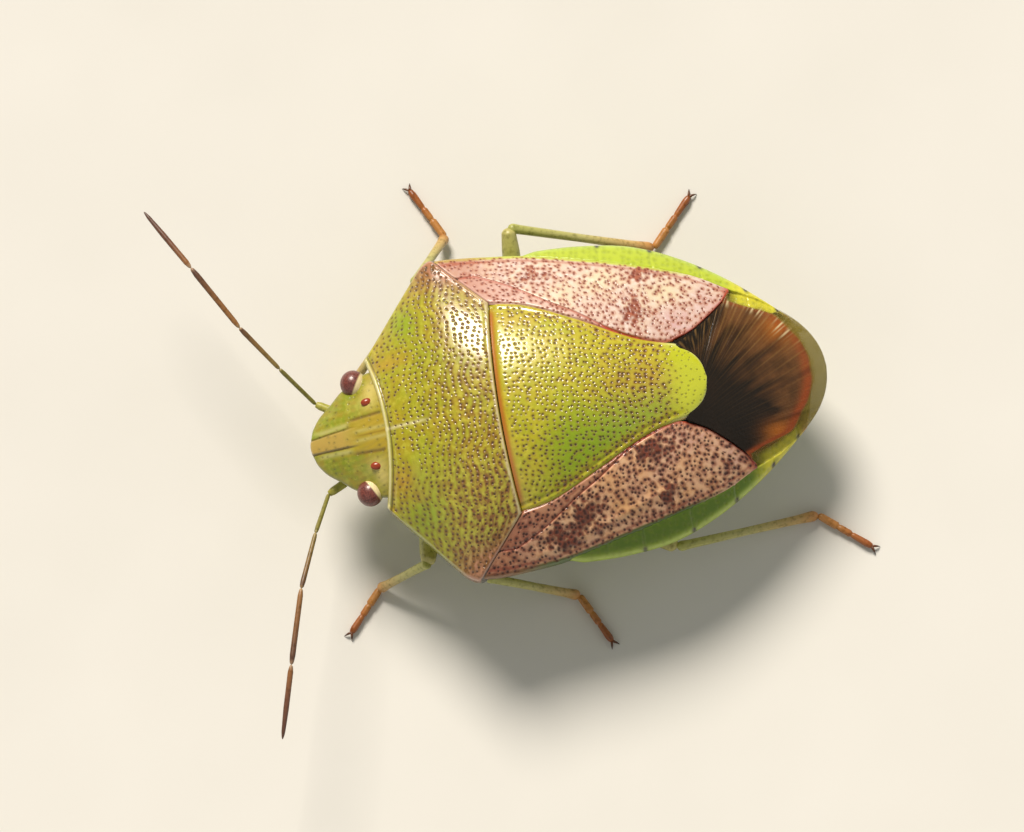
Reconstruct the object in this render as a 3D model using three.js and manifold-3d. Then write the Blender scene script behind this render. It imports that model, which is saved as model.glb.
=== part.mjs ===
// Brown-winged green shield bug, life size, standing still on the floor.
// Millimetres, +Z up. The head faces -Y, the insect's own left side is +X.
// Lengths along the body are measured rearwards from the tip of the head.
import * as THREE from 'three';
import { mergeVertices } from 'three/addons/utils/BufferGeometryUtils.js';
import Module from 'manifold-3d';

const wasm = await Module();
wasm.setup();

// Driving dimensions
const BODY_LENGTH = 10;
const GAP = 0.1;
const WING_THICKNESS = 0.5;
const SHIELD_THICKNESS = 0.65;
const SHIELD_EDGE = 0.4;
const BELLY_EDGE = 0.35;
const LEAST_PLATE = 0.12;
const RIM_STEP = 0.06;
const VEIN_HEIGHT = 0.07;
const HEAD_LENGTH = 1.4;
const PRONOTUM_FRONT = 1.48;
const PRONOTUM_REAR = 3.69;
const ABDOMEN_FRONT = 4.85;
const ABDOMEN_END = 9.66;
const CORIUM_TIP = 8.38;
const SCUTELLUM_TIP = 7.69;
const LIMB_SIDES = 8;

// Stations down the body: [distance from the head tip, value]
const HALF_WIDTH = [[1.3, 1.33], [1.7, 1.96], [2.2, 2.6], [2.7, 3.1], [3.0, 3.17], [3.6, 3.06], [4.6, 3.05],
  [5.6, 3.04], [6.6, 2.9], [7.5, 2.54], [8.4, 1.98], [9.3, 1.22], [9.75, 0.75], [9.94, 0.38],
  [BODY_LENGTH, 0.12]];
const MIDLINE_HEIGHT = [[0, 2.0], [0.6, 2.45], [1.4, 2.85], [2.0, 3.2], [2.8, 3.55], [3.7, 3.72], [5, 3.68],
  [6, 3.5], [7, 3.24], [8, 2.88], [9, 2.45], [BODY_LENGTH, 2.05]];
const RIM_HEIGHT = [[1.3, 2.5], [3.0, 2.6], [3.6, 2.56], [4.5, 2.46], [5.5, 2.32], [6.5, 2.2], [8, 2.08],
  [9.3, 2.0], [BODY_LENGTH, 2.03]];
const BELLY_HEIGHT = [[1.4, 1.3], [2.2, 1.05], [3.3, 0.97], [4.6, 0.92], [5.5, 0.7], [6.8, 0.66], [8, 0.86],
  [9, 1.22], [ABDOMEN_END, 1.6]];
const HEAD_HALF_WIDTH = [[0, 0.24], [0.03, 0.34], [0.1, 0.44], [0.22, 0.57], [0.46, 0.75], [0.76, 0.97],
  [1.02, 1.02], [HEAD_LENGTH, 1.04]];
const HEAD_RIM = [[0, 1.96], [0.5, 2.12], [1.0, 2.3], [HEAD_LENGTH, 2.4]];
const HEAD_UNDERSIDE = [[0, 1.78], [0.35, 1.5], [0.8, 1.32], [HEAD_LENGTH, 1.25]];
const SCUTELLUM_HALF_WIDTH = [[3.7, 2.06], [4.45, 1.9], [5.4, 1.46], [6.37, 0.96], [6.9, 0.79], [7.25, 0.7],
  [7.5, 0.52], [7.64, 0.29], [SCUTELLUM_TIP, 0.1]];
const WING_HALF_WIDTH = [[3.1, 2.98], [3.9, 3.0], [4.5, 2.95], [5.4, 2.76], [6.5, 2.48], [7.7, 2.1],
  [CORIUM_TIP, 1.74], [8.9, 1.5], [9.3, 1.22], [9.75, 0.75], [9.94, 0.38], [BODY_LENGTH, 0.12]];
const SUTURE = [[7.15, 0.79], [7.55, 0.95], [7.9, 1.21], [8.2, 1.47], [CORIUM_TIP, 1.66]];

// A smooth value between stations: cubic steps whose slopes are those between the neighbours.
function along(stations) {
  const last = stations.length - 1;
  const slope = (i) => {
    const a = stations[Math.max(i - 1, 0)];
    const b = stations[Math.min(i + 1, last)];
    return (b[1] - a[1]) / (b[0] - a[0]);
  };
  return (y) => {
    if (y <= stations[0][0]) return stations[0][1];
    if (y >= stations[last][0]) return stations[last][1];
    const i = stations.findIndex((s) => s[0] > y) - 1;
    const [y0, a] = stations[i];
    const [y1, b] = stations[i + 1];
    const h = y1 - y0;
    const t = (y - y0) / h;
    return a + (b - a) * t * t * (3 - 2 * t)
      + h * t * (1 - t) * (slope(i) * (1 - t) - slope(i + 1) * t);
  };
}

const halfWidth = along(HALF_WIDTH);
const midline = along(MIDLINE_HEIGHT);
const rim = along(RIM_HEIGHT);
const belly = along(BELLY_HEIGHT);
const headHalf = along(HEAD_HALF_WIDTH);
const headRim = along(HEAD_RIM);
const headUnder = along(HEAD_UNDERSIDE);
const scutellumHalf = along(SCUTELLUM_HALF_WIDTH);
const wingHalf = along(WING_HALF_WIDTH);
const suture = along(SUTURE);
const { lerp, smoothstep } = THREE.MathUtils;

// Arch of the back over its rim, and arch of the belly under it
const across = (x, y) => Math.min(Math.abs(x) / halfWidth(y), 1);
const back = (x, y) => lerp(rim(y), midline(y), 1 - across(x, y) ** 2.3);
const under = (x, y) => lerp(belly(y), rim(y) - BELLY_EDGE, across(x, y) ** 1.7);
const shieldDepth = (x, y) => lerp(SHIELD_THICKNESS, SHIELD_EDGE, across(x, y) ** 2);

// Front and rear margins of the pronotum in plan
const NECK_HALF = 1.33;
const HUMERAL = [3.17, 2.86];
const REAR_CORNER = [2.05, 3.81];
const FRONT_SWEEP = 0.14;
const pronotumFront = (x) => PRONOTUM_FRONT - FRONT_SWEEP * (Math.abs(x) / NECK_HALF) ** 2;
function pronotumRear(x) {
  const a = Math.abs(x);
  const inMiddle = a <= REAR_CORNER[0];
  if (inMiddle) return lerp(PRONOTUM_REAR, REAR_CORNER[1], (a / REAR_CORNER[0]) ** 2);
  return lerp(REAR_CORNER[1], HUMERAL[1], (a - REAR_CORNER[0]) / (HUMERAL[0] - REAR_CORNER[0]));
}

// A box of nx by ny cells bent into shape: place(u, v, t) gives a point, with
// u from -1 to 1 across, v from 0 to 1 rearwards, and t 0 on the underside or 1 on top.
function bentBox(nx, ny, place) {
  const geometry = new THREE.BoxGeometry(2, 1, 1, nx, ny, 1);
  const p = geometry.attributes.position;
  for (let i = 0; i < p.count; i += 1) {
    const [x, y, z] = place(p.getX(i), p.getY(i) + 0.5, Math.round(p.getZ(i) + 0.5));
    p.setXYZ(i, x, y, z);
  }
  return geometry;
}

function toSolid(geometry) {
  const bare = geometry.clone();
  bare.deleteAttribute('normal');
  bare.deleteAttribute('uv');
  const merged = mergeVertices(bare, 1e-5);
  return new wasm.Manifold(new wasm.Mesh({
    numProp: 3,
    vertProperties: new Float32Array(merged.attributes.position.array),
    triVerts: new Uint32Array(merged.index.array),
  }));
}

// Back to a geometry, keeping only the largest closed surface
function toGeometry(solid) {
  const pieces = solid.decompose().sort((a, b) => b.volume() - a.volume());
  const mesh = pieces[0].getMesh();
  const geometry = new THREE.BufferGeometry();
  geometry.setAttribute('position', new THREE.BufferAttribute(mesh.vertProperties, 3));
  geometry.setIndex(new THREE.BufferAttribute(mesh.triVerts, 1));
  return geometry;
}

// The first shape with sockets cut where the others sit
function carve(geometry, cutters) {
  let solid = toSolid(geometry);
  for (const cutter of cutters) solid = solid.subtract(toSolid(cutter));
  return toGeometry(solid);
}

const bug = new THREE.Group();

function add(name, geometry, color, roughness) {
  geometry.computeVertexNormals();
  const mesh = new THREE.Mesh(geometry, new THREE.MeshStandardMaterial({ color, roughness, metalness: 0 }));
  mesh.name = name;
  bug.add(mesh);
}

// A round limb segment from a to b. shape lists [share of the length, radius]. At a bend it stays
// on its own side of the plane that halves the joint's angle, half a gap clear of it.
function segment(a, b, shape, bendA, bendB, grow = 0) {
  const length = a.distanceTo(b);
  const clear = GAP / 2 - grow;
  const setBack = (bend, radius) => (clear + radius * Math.cos(bend / 2)) / Math.sin(bend / 2);
  const limit = (d, bend) => (d * Math.sin(bend / 2) - clear) / Math.max(Math.cos(bend / 2), 1e-6);
  const start = setBack(bendA, shape[0][1]);
  const stop = length - setBack(bendB, shape[shape.length - 1][1]);
  const profile = [new THREE.Vector2(0, start)];
  for (const [share, radius] of shape) {
    const d = lerp(start, stop, share);
    const most = Math.min(limit(d, bendA), limit(length - d, bendB)) + 1e-9;
    profile.push(new THREE.Vector2(Math.min(radius, most) + grow, d));
  }
  profile.push(new THREE.Vector2(0, stop));
  const geometry = new THREE.LatheGeometry(profile, LIMB_SIDES);
  const turn = new THREE.Quaternion().setFromUnitVectors(
    new THREE.Vector3(0, 1, 0),
    b.clone().sub(a).normalize(),
  );
  geometry.applyQuaternion(turn);
  geometry.translate(a.x, a.y, a.z);
  return geometry;
}

const point = (p) => new THREE.Vector3(...p);

// Inner angle at each joint of a chain of points, straight at its two ends
function bends(points) {
  return points.map((p, i) => {
    if (i === 0 || i === points.length - 1) return Math.PI;
    return points[i - 1].clone().sub(p).angleTo(points[i + 1].clone().sub(p));
  });
}

function flatten(geometry, level) {
  const p = geometry.attributes.position;
  for (let i = 0; i < p.count; i += 1) p.setZ(i, Math.max(p.getZ(i), level));
  return geometry;
}

// Legs: trochanter, knee, end of the tibia and tip of the foot for each
const COXA_RADIUS = 0.3;
const HIP_OUT = 0.55;
const HIP_HEIGHT = 0.85;
const LEGS = [
  ['fore_left', 2.1, [[1.0, 2.1, 0.56], [2.47, 1.88, 1.5], [2.61, 0.87, 0.32], [3.37, 0.19, 0.14]]],
  ['fore_right', 2.1, [[-1.0, 2.1, 0.56], [-2.3, 1.95, 1.2], [-1.35, 0.9, 0.32], [-0.55, 0.25, 0.14]]],
  ['mid_left', 3.3, [[1.15, 3.3, 0.52], [2.94, 2.95, 1.6], [3.35, 4.64, 0.32], [4.33, 5.13, 0.14]]],
  ['mid_right', 3.3, [[-1.15, 3.3, 0.52], [-2.93, 2.45, 1.6], [-3.97, 3.17, 0.32], [-5.01, 2.63, 0.14]]],
  ['hind_left', 4.3, [[1.2, 4.4, 0.47], [2.86, 6.64, 1.1], [2.54, 9.43, 0.32], [3.31, 10.37, 0.14]]],
  ['hind_right', 4.3, [[-1.2, 4.3, 0.47], [-3.72, 4.4, 1.5], [-3.12, 7.13, 0.32], [-4.03, 7.97, 0.14]]],
];
const COXA = [[0, 0.2], [0.3, COXA_RADIUS], [0.75, 0.28], [1, 0.16]];
const FEMUR = [[0, 0.15], [0.12, 0.24], [0.45, 0.27], [0.85, 0.25], [0.95, 0.22], [1, 0.15]];
const TIBIA = [[0, 0.16], [0.06, 0.24], [0.5, 0.25], [0.94, 0.25], [1, 0.18]];
const TARSUS = [[0, 0.16], [0.1, 0.24], [0.36, 0.25], [0.42, 0.21], [0.5, 0.25], [0.62, 0.25], [0.68, 0.2],
  [0.78, 0.23], [0.92, 0.15], [1, 0.07]];
const coxaCutters = [];

for (const [side, row, joints] of LEGS) {
  const tip = point(joints[0]);
  const hip = new THREE.Vector3(Math.sign(tip.x) * HIP_OUT, row, HIP_HEIGHT);
  const chain = [hip, ...joints.map(point)];
  const bend = bends(chain);
  add(`coxa_${side}`, segment(chain[0], chain[1], COXA, bend[0], bend[1]), 0x9aa84a, 0.45);
  add(`femur_${side}`, segment(chain[1], chain[2], FEMUR, bend[1], bend[2]), 0x9db04e, 0.42);
  add(`tibia_${side}`, segment(chain[2], chain[3], TIBIA, bend[2], bend[3]), 0xa79a4c, 0.42);
  add(`tarsus_${side}`, flatten(segment(chain[3], chain[4], TARSUS, bend[3], bend[4]), 0), 0xa8602c, 0.45);
  coxaCutters.push(segment(chain[0], chain[1], COXA, Math.PI, Math.PI, GAP));
}

// Antennae: base and the end of each of the five segments
const ANTENNAE = {
  left: [[0.66, 0.62, 1.58], [0.86, 0.2, 1.52], [1.64, -0.15, 2.15], [2.69, -0.58, 2.4],
    [4.13, -0.99, 2.5], [5.5, -1.38, 2.35]],
  right: [[-0.66, 0.62, 1.58], [-0.9, 0.22, 1.52], [-1.6, -0.35, 2.15], [-2.47, -0.98, 2.4],
    [-3.75, -1.72, 2.5], [-5.0, -2.45, 2.35]],
};
const SCAPE = [[0, 0.14], [0.4, 0.2], [0.8, 0.22], [1, 0.15]];
const FLAGELLUM = [[0, 0.15], [0.12, 0.24], [0.5, 0.25], [0.88, 0.25], [1, 0.16]];
const ANTENNA_TIP = [[0, 0.15], [0.12, 0.24], [0.4, 0.25], [0.7, 0.23], [0.9, 0.15], [1, 0.06]];
const headCutters = [];

for (const [side, joints] of Object.entries(ANTENNAE)) {
  const chain = joints.map(point);
  const bend = bends(chain);
  for (let i = 0; i < 5; i += 1) {
    const shape = [SCAPE, FLAGELLUM, FLAGELLUM, FLAGELLUM, ANTENNA_TIP][i];
    const color = [0x8a8f2e, 0x8a8a2a, 0x8a6a2a, 0x8a5a25, 0x6a4030][i];
    add(`antenna_${side}_${i + 1}`, segment(chain[i], chain[i + 1], shape, bend[i], bend[i + 1]), color, 0.4);
  }
  headCutters.push(segment(chain[0], chain[1], SCAPE, Math.PI, Math.PI, GAP));
}

// Eyes: domes set in sockets at the rear corners of the head
const EYE = { x: 1.06, y: 1.02, z: 2.22, rx: 0.3, ry: 0.28, rz: 0.3 };

function eyeball(side, grow) {
  const geometry = new THREE.SphereGeometry(1, 14, 10);
  geometry.scale(EYE.rx + grow, EYE.ry + grow, EYE.rz + grow);
  geometry.translate(side * EYE.x, EYE.y, EYE.z);
  return geometry;
}

for (const [name, side] of [['left', 1], ['right', -1]]) {
  add(`eye_${name}`, eyeball(side, 0), 0x5a2d30, 0.2);
  headCutters.push(eyeball(side, GAP));
}

// Beak, folded back between the legs
const BEAK = [[0, 0.42, 1.3], [0, 1.25, 0.86], [0, 3.95, 0.62]].map(point);
const BEAK_ROOT = [[0, 0.12], [0.25, 0.22], [0.85, 0.24], [1, 0.16]];
const BEAK_END = [[0, 0.16], [0.08, 0.24], [0.5, 0.22], [0.9, 0.14], [1, 0.06]];
const BEAK_GROWTH = 0.03;
const beakBend = bends(BEAK);
const beakSolid = toSolid(segment(BEAK[0], BEAK[1], BEAK_ROOT, Math.PI, Math.PI, BEAK_GROWTH))
  .add(toSolid(segment(BEAK[1], BEAK[2], BEAK_END, Math.PI, beakBend[2], BEAK_GROWTH)));
add('beak', toGeometry(beakSolid), 0x7d7a35, 0.45);
headCutters.push(segment(BEAK[0], BEAK[1], BEAK_ROOT, Math.PI, Math.PI, GAP + BEAK_GROWTH));

// Head: a flat wedge with a raised middle lobe between two side lobes
const LOBE = 0.2;
const LOBE_HEIGHT = 0.05;
const LOBE_SIDE = 0.12;
const HEAD_EDGE = 0.17;
const HEAD_TIP_SWEEP = 0.06;

function headPoint(u, v, t) {
  const row = v ** 1.4;
  const y0 = row * HEAD_LENGTH;
  const x = headHalf(y0) * Math.sign(u) * Math.abs(u) ** 0.9;
  const y = lerp(HEAD_TIP_SWEEP * u * u, pronotumFront(x) - GAP, row);
  const arch = 1 - Math.abs(u) ** 2;
  const lobe = LOBE_HEIGHT * (1 - smoothstep(Math.abs(Math.abs(u) - LOBE), 0, LOBE_SIDE)) * (1 - row);
  if (t) return [x, y, lerp(headRim(y0), midline(y0), arch) - lobe];
  return [x, y, lerp(headRim(y0) - HEAD_EDGE, headUnder(y0), 1 - Math.abs(u) ** 1.4)];
}
add('head', carve(bentBox(16, 14, headPoint), headCutters), 0x8f9a20, 0.4);

// Pronotum: rows run across from side margin to side margin
const SIDE_MARGIN = new THREE.SplineCurve([
  new THREE.Vector2(NECK_HALF, PRONOTUM_FRONT - FRONT_SWEEP),
  new THREE.Vector2(1.98, 1.74),
  new THREE.Vector2(2.8, 2.42),
  new THREE.Vector2(3.1, 2.7),
  new THREE.Vector2(...HUMERAL),
  new THREE.Vector2(3.08, 3.02),
  new THREE.Vector2(2.6, 3.42),
  new THREE.Vector2(...REAR_CORNER),
]);

function pronotumPoint(u, v, t) {
  const side = SIDE_MARGIN.getPoint(v);
  const a = Math.abs(u);
  const x = side.x * u;
  const front = pronotumFront(x);
  const centre = lerp(PRONOTUM_FRONT, PRONOTUM_REAR, v);
  const y = v === 0 ? front : lerp(centre, side.y, a * a);
  const z = back(x, y);
  return [x, y, t ? z : z - shieldDepth(x, y)];
}
add('pronotum', bentBox(18, 14, pronotumPoint), 0x9aa024, 0.38);

// Scutellum: the long shield over the middle of the back
const SCUTELLUM_RISE = 0.07;

function scutellumPoint(u, v, t) {
  const front = pronotumRear(u * 1.98) + GAP;
  const y = lerp(front, SCUTELLUM_TIP, 1 - (1 - v) ** 1.25);
  const x = (scutellumHalf(y) - GAP / 2) * u;
  const rise = SCUTELLUM_RISE * (1 - u ** 4);
  return [x, y, t ? back(x, y) + rise : back(x, y) - WING_THICKNESS];
}
add('scutellum', bentBox(12, 14, scutellumPoint), 0xa8ab28, 0.36);

// Leathery fore part of each wing, from the shield's side out to the rim of the body
function coriumPoint(side, u, v, t) {
  const share = (u + 1) / 2;
  const innerY = lerp(pronotumRear(2.1) + GAP, CORIUM_TIP, v);
  const outerY = lerp(pronotumRear(2.98) + GAP, CORIUM_TIP, v);
  const innerX = innerY < SUTURE[0][0] ? scutellumHalf(innerY) + GAP / 2 : suture(innerY) - GAP / 2;
  const outerX = wingHalf(outerY);
  const x = lerp(innerX, outerX, side > 0 ? share : 1 - share);
  const y = lerp(innerY, outerY, side > 0 ? share : 1 - share);
  return [side * x, y, back(x, y) - (t ? 0 : WING_THICKNESS)];
}

// Clear membrane behind each corium. The left one covers the right along OVERLAP, a line that
// runs back from the shield's tip. Veins are ridges that fan out to the rear.
const OVERLAP_END = 9.85;
const OVERLAP = [[SCUTELLUM_TIP, 0.35], [8.6, 0.75], [9.3, 0.85], [OVERLAP_END, 0.55]];
const MEMBRANE_FRONT = 7.25;
const MEMBRANE_END = 9.9;
const overlap = along(OVERLAP);
const VEINS = 5;

for (const [name, side] of [['left', 1], ['right', -1]]) {
  const place = (u, v, t) => coriumPoint(side, u, v, t);
  add(`corium_${name}`, bentBox(8, 16, place), 0xc79a86, 0.42);
}

// Each row of a membrane runs from the overlap line out to the suture and then the wing's edge
function membranePoint(side, u, v, t) {
  const share = side > 0 ? (u + 1) / 2 : (1 - u) / 2;
  const seam = -side * overlap(lerp(SCUTELLUM_TIP, OVERLAP_END, v));
  const inner = new THREE.Vector2(seam + GAP / 2, lerp(SCUTELLUM_TIP + GAP, MEMBRANE_END, v));
  const edgeY = lerp(MEMBRANE_FRONT, MEMBRANE_END, v);
  const outerX = edgeY < CORIUM_TIP ? suture(edgeY) + GAP / 2 : wingHalf(edgeY);
  const outer = new THREE.Vector2(outerX, edgeY + (edgeY < CORIUM_TIP ? GAP : 0));
  const p = inner.lerp(outer, share);
  const rows = Math.round(share * 2 * VEINS);
  const ridge = rows % 2 === 1 ? VEIN_HEIGHT * Math.sin(Math.PI * v) : 0;
  const z = back(p.x, p.y) - GAP / 2;
  return [side * p.x, p.y, t ? z - VEIN_HEIGHT + ridge : z - WING_THICKNESS];
}
for (const [name, side] of [['left', 1], ['right', -1]]) {
  const place = (u, v, t) => membranePoint(side, u, v, t);
  add(`membrane_${name}`, bentBox(2 * VEINS, 10, place), 0x3a281a, 0.25);
}

// Thorax under the shields, with a socket for each coxa
function thoraxPoint(u, v, t) {
  const half = lerp(1.25, 2.92, smoothstep(v, 0, 0.6));
  const x = half * u;
  const y = lerp(1.52, ABDOMEN_FRONT - GAP, v);
  const depth = lerp(SHIELD_THICKNESS, WING_THICKNESS, smoothstep(y, 3.9, 4.2)) + GAP;
  const top = back(x, y) - depth;
  return [x, y, t ? top : Math.min(under(x, y), top - LEAST_PLATE)];
}
add('thorax', carve(bentBox(14, 11, thoraxPoint), coxaCutters), 0x9aa85a, 0.5);

// Abdomen: its green rim rises outside the wings and sinks below the membrane at the tail
const RIM_COLUMN = 0.86;

function abdomenPoint(u, v, t) {
  const y = lerp(ABDOMEN_FRONT, ABDOMEN_END, 1 - (1 - v) ** 1.3);
  const tail = Math.sqrt(Math.max(1 - smoothstep(y, 8.9, ABDOMEN_END + 0.02) ** 2, 0));
  const edge = halfWidth(y) * lerp(0.3, 1, tail);
  const a = Math.abs(u);
  const recess = Math.min(wingHalf(y) + GAP, edge - 0.04);
  const share = a <= RIM_COLUMN ? a / RIM_COLUMN : 0;
  const x = Math.sign(u) * (a <= RIM_COLUMN ? recess * share : edge);
  const sunk = WING_THICKNESS + GAP;
  const raised = lerp(RIM_STEP, sunk, smoothstep(y, 8.4, 9.0));
  const top = back(x, y) - (a > RIM_COLUMN ? raised : sunk);
  return [x, y, t ? top : Math.min(under(x, y), top - LEAST_PLATE)];
}
add('abdomen', bentBox(14, 18, abdomenPoint), 0x8fb030, 0.45);

// Stand the bug on the floor with the middle of its outline over the origin
const box = new THREE.Box3().setFromObject(bug);
const middle = box.getCenter(new THREE.Vector3());
bug.position.set(-middle.x, -middle.y, -box.min.z);

export default bug;
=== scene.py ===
# %% [markdown]
# # A green shield bug, life size
# This lesson dresses a imported frame of a ten millimetre shield bug. The frame's solids are simple:
# thick plates and thick legs. Here each plate, leg and feeler gets its real surface, worked out as
# numpy arrays, with pits, seams and veins in the mesh and a material built from nodes.
# The first step loads the frame, whose boxes later place the finished bug.

# %% Load the frame
import math

import bpy
import numpy as np
from mathutils import Matrix, Vector


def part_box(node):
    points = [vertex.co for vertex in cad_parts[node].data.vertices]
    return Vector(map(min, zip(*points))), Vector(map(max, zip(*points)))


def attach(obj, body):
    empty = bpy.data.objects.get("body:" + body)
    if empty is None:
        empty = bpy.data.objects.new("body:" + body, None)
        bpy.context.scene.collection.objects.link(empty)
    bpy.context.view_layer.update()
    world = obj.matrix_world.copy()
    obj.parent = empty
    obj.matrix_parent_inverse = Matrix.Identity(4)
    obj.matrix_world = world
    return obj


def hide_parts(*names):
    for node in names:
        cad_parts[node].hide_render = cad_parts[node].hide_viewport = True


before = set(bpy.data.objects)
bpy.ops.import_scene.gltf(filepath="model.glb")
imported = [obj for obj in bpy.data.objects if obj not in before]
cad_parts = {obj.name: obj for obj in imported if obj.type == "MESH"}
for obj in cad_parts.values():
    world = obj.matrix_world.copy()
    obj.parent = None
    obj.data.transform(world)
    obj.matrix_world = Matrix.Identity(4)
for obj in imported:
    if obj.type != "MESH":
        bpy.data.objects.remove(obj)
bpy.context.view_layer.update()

# %% [markdown]
# ## Measures of the insect
# It is easiest to model an insect in its own measures: x to its left, y rearwards from the tip of
# the head, z up from the floor, all in millimetres. The frame puts the origin under the middle of
# the whole outline instead, so one shift, read from the head and the pronotum, joins the two.

# %% From the insect's millimetres to the frame's metres
MM = 0.001
SHIELD_LOW, SHIELD_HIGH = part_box("pronotum")
HEAD_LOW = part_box("head")[0]
SHIFT = np.array([(SHIELD_LOW.x + SHIELD_HIGH.x) / 2, HEAD_LOW.y, 0.0])


def metres(points):
    """The frame's metres: the insect's millimetres times 0.001, plus the shift."""
    return np.asarray(points, float) * MM + SHIFT


print("shift, mm:", np.round(SHIFT * 1000, 3))

# %% [markdown]
# A body outline has a few measured stations. Between them a smooth value is a cubic step whose
# slope at each station is that of the line between its neighbours. Everything is worked out on
# whole arrays, so the same function gives one width or a hundred thousand.


# %% Smooth values between stations
def lerp(a, b, t):
    """a at t = 0 and b at t = 1, in a straight line."""
    return a + (b - a) * t


def ease(t, low=0.0, high=1.0):
    """0 below low, 1 above high, and 3 s^2 - 2 s^3 of the share s between them. It falls from 1 to 0
    where low is the greater of the two."""
    s = np.clip((t - low) / (high - low), 0, 1)
    return s * s * (3 - 2 * s)


def along(stations):
    """A function of y: cubic Hermite pieces through (y, value) with neighbour slopes, level outside."""
    ys, vs = np.array(stations, float).T
    count = len(ys)
    before = np.maximum(np.arange(count) - 1, 0)
    after = np.minimum(np.arange(count) + 1, count - 1)
    slopes = (vs[after] - vs[before]) / (ys[after] - ys[before])

    def value(y):
        y = np.clip(y, ys[0], ys[-1])
        i = np.clip(np.searchsorted(ys, y, side="right") - 1, 0, count - 2)
        h = ys[i + 1] - ys[i]
        t = (y - ys[i]) / h
        step = vs[i] + (vs[i + 1] - vs[i]) * t * t * (3 - 2 * t)
        return step + h * t * (1 - t) * (slopes[i] * (1 - t) - slopes[i + 1] * t)

    return value


def path(points):
    """x and y as smooth functions of the share of the way through a list of points."""
    shares = np.linspace(0, 1, len(points))
    return [along(list(zip(shares, values))) for values in np.transpose(points)]


def bell(t, width):
    """1 at t = 0, falling as exp(-(t / width)^2)."""
    return np.exp(-((t / width) ** 2))


print("halfway from 2 to 3 mm:", float(along([(0, 2.0), (1, 3.0)])(0.5)), "mm")


# %% Stations of the body
HALF_WIDTH = along([(1.3, 1.33), (1.7, 1.96), (2.2, 2.6), (2.7, 3.1), (3.0, 3.17), (3.6, 3.06),
                    (4.6, 3.05), (5.6, 3.04), (6.6, 2.9), (7.5, 2.54), (8.4, 1.98), (9.3, 1.22),
                    (9.75, 0.75), (9.94, 0.38), (10, 0.12)])
MIDLINE = along([(0, 2.0), (0.6, 2.45), (1.4, 2.85), (2.0, 3.2), (2.8, 3.55), (3.7, 3.72), (5, 3.68),
                 (6, 3.5), (7, 3.24), (8, 2.88), (9, 2.45), (10, 2.05)])
RIM = along([(1.3, 2.5), (3.0, 2.6), (3.6, 2.56), (4.5, 2.46), (5.5, 2.32), (6.5, 2.2), (8, 2.08),
             (9.3, 2.0), (10, 2.03)])
BELLY = along([(1.4, 1.3), (2.2, 1.05), (3.3, 0.97), (4.6, 0.92), (5.5, 0.7), (6.8, 0.66), (8, 0.86),
               (9, 1.22), (9.66, 1.6)])
SCUTELLUM_HALF = along([(3.7, 2.06), (4.45, 1.9), (5.4, 1.46), (6.37, 0.96), (6.9, 0.79), (7.25, 0.7),
                        (7.5, 0.52), (7.64, 0.29), (7.69, 0.03)])
WING_HALF = along([(2.9, 3.08), (3.3, 3.08), (3.9, 3.03), (4.5, 2.96), (5.4, 2.76), (6.5, 2.48), (7.7, 2.1),
                   (8.38, 1.74), (8.9, 1.5), (9.3, 1.22), (9.75, 0.75), (9.94, 0.38), (10, 0.12)])
SUTURE = along([(7.15, 0.79), (7.55, 0.95), (7.9, 1.21), (8.2, 1.47), (8.38, 1.68)])
SCUTELLUM_TIP = 7.69
CORIUM_TIP = 8.38
ABDOMEN_END = 9.66


def across(x, y):
    """Share of the half width, 0 on the midline and 1 at the rim."""
    return np.minimum(np.abs(x) / HALF_WIDTH(y), 1)


def back(x, y):
    """Height of the back: the rim plus an arch, 1 - share^2.3, up to the midline."""
    return lerp(RIM(y), MIDLINE(y), 1 - across(x, y) ** 2.3)


def under(x, y):
    """Height of the underside: the belly line rising as share^1.7 to just below the rim."""
    return lerp(BELLY(y), RIM(y) - 0.35, across(x, y) ** 1.7)


print("height of the back at 3.7 mm:", round(float(back(0.0, 3.7)), 2), "mm")

# %% [markdown]
# ## The camera
# The photo looks almost straight down on the insect, leaning about nine degrees towards its left
# side, and the body is turned about nine degrees in the picture. A long lens keeps it as flat as
# the macro lens did. The camera is made first, so every look at a piece is from the right place.

# %% Camera at the photo's angle
LEAN = math.radians(9)
PICTURE_RIGHT = (0.1576, 0.9875)  # parts of the insect's left and rear in the picture's rightward line
FRAME_WIDTH_MM = 19.56  # what 1024 pixels span
LENS_MM, SENSOR_MM = 400, 36
PICTURE_CENTRE = (0.066, 3.906, 2.5)

left_axis = np.array([math.cos(LEAN), 0, -math.sin(LEAN)])
rear_axis = np.array([0.0, 1.0, 0.0])
right = PICTURE_RIGHT[0] * left_axis + PICTURE_RIGHT[1] * rear_axis
upward = PICTURE_RIGHT[0] * rear_axis - PICTURE_RIGHT[1] * left_axis
towards = np.cross(right, upward)
distance = FRAME_WIDTH_MM * LENS_MM / SENSOR_MM
place = metres(np.array(PICTURE_CENTRE) + towards * distance)
camera_data = bpy.data.cameras.new("camera")
camera_data.lens = LENS_MM
camera_data.sensor_width = SENSOR_MM
camera_data.clip_start = 0.001
camera_data.clip_end = 10
camera = bpy.data.objects.new("camera", camera_data)
turn = np.array([right, upward, towards]).T
camera.matrix_world = Matrix([[*row, p] for row, p in zip(turn, place)] + [[0, 0, 0, 1]])
bpy.context.collection.objects.link(camera)
bpy.context.scene.camera = camera
print("camera is", round(distance, 1), "mm from the bug")

# %% [markdown]
# ## Light
# Small glossy animals are photographed under a large soft lamp. The highlights on the shield lie
# on the insect's right, so the key lamp is there. An area lamp could stand in for the light box,
# but its size would have to follow the insect's. A sun lamp with a wide angle is as soft and looks
# the same at any scale. A pale world fills the shadows.


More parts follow.
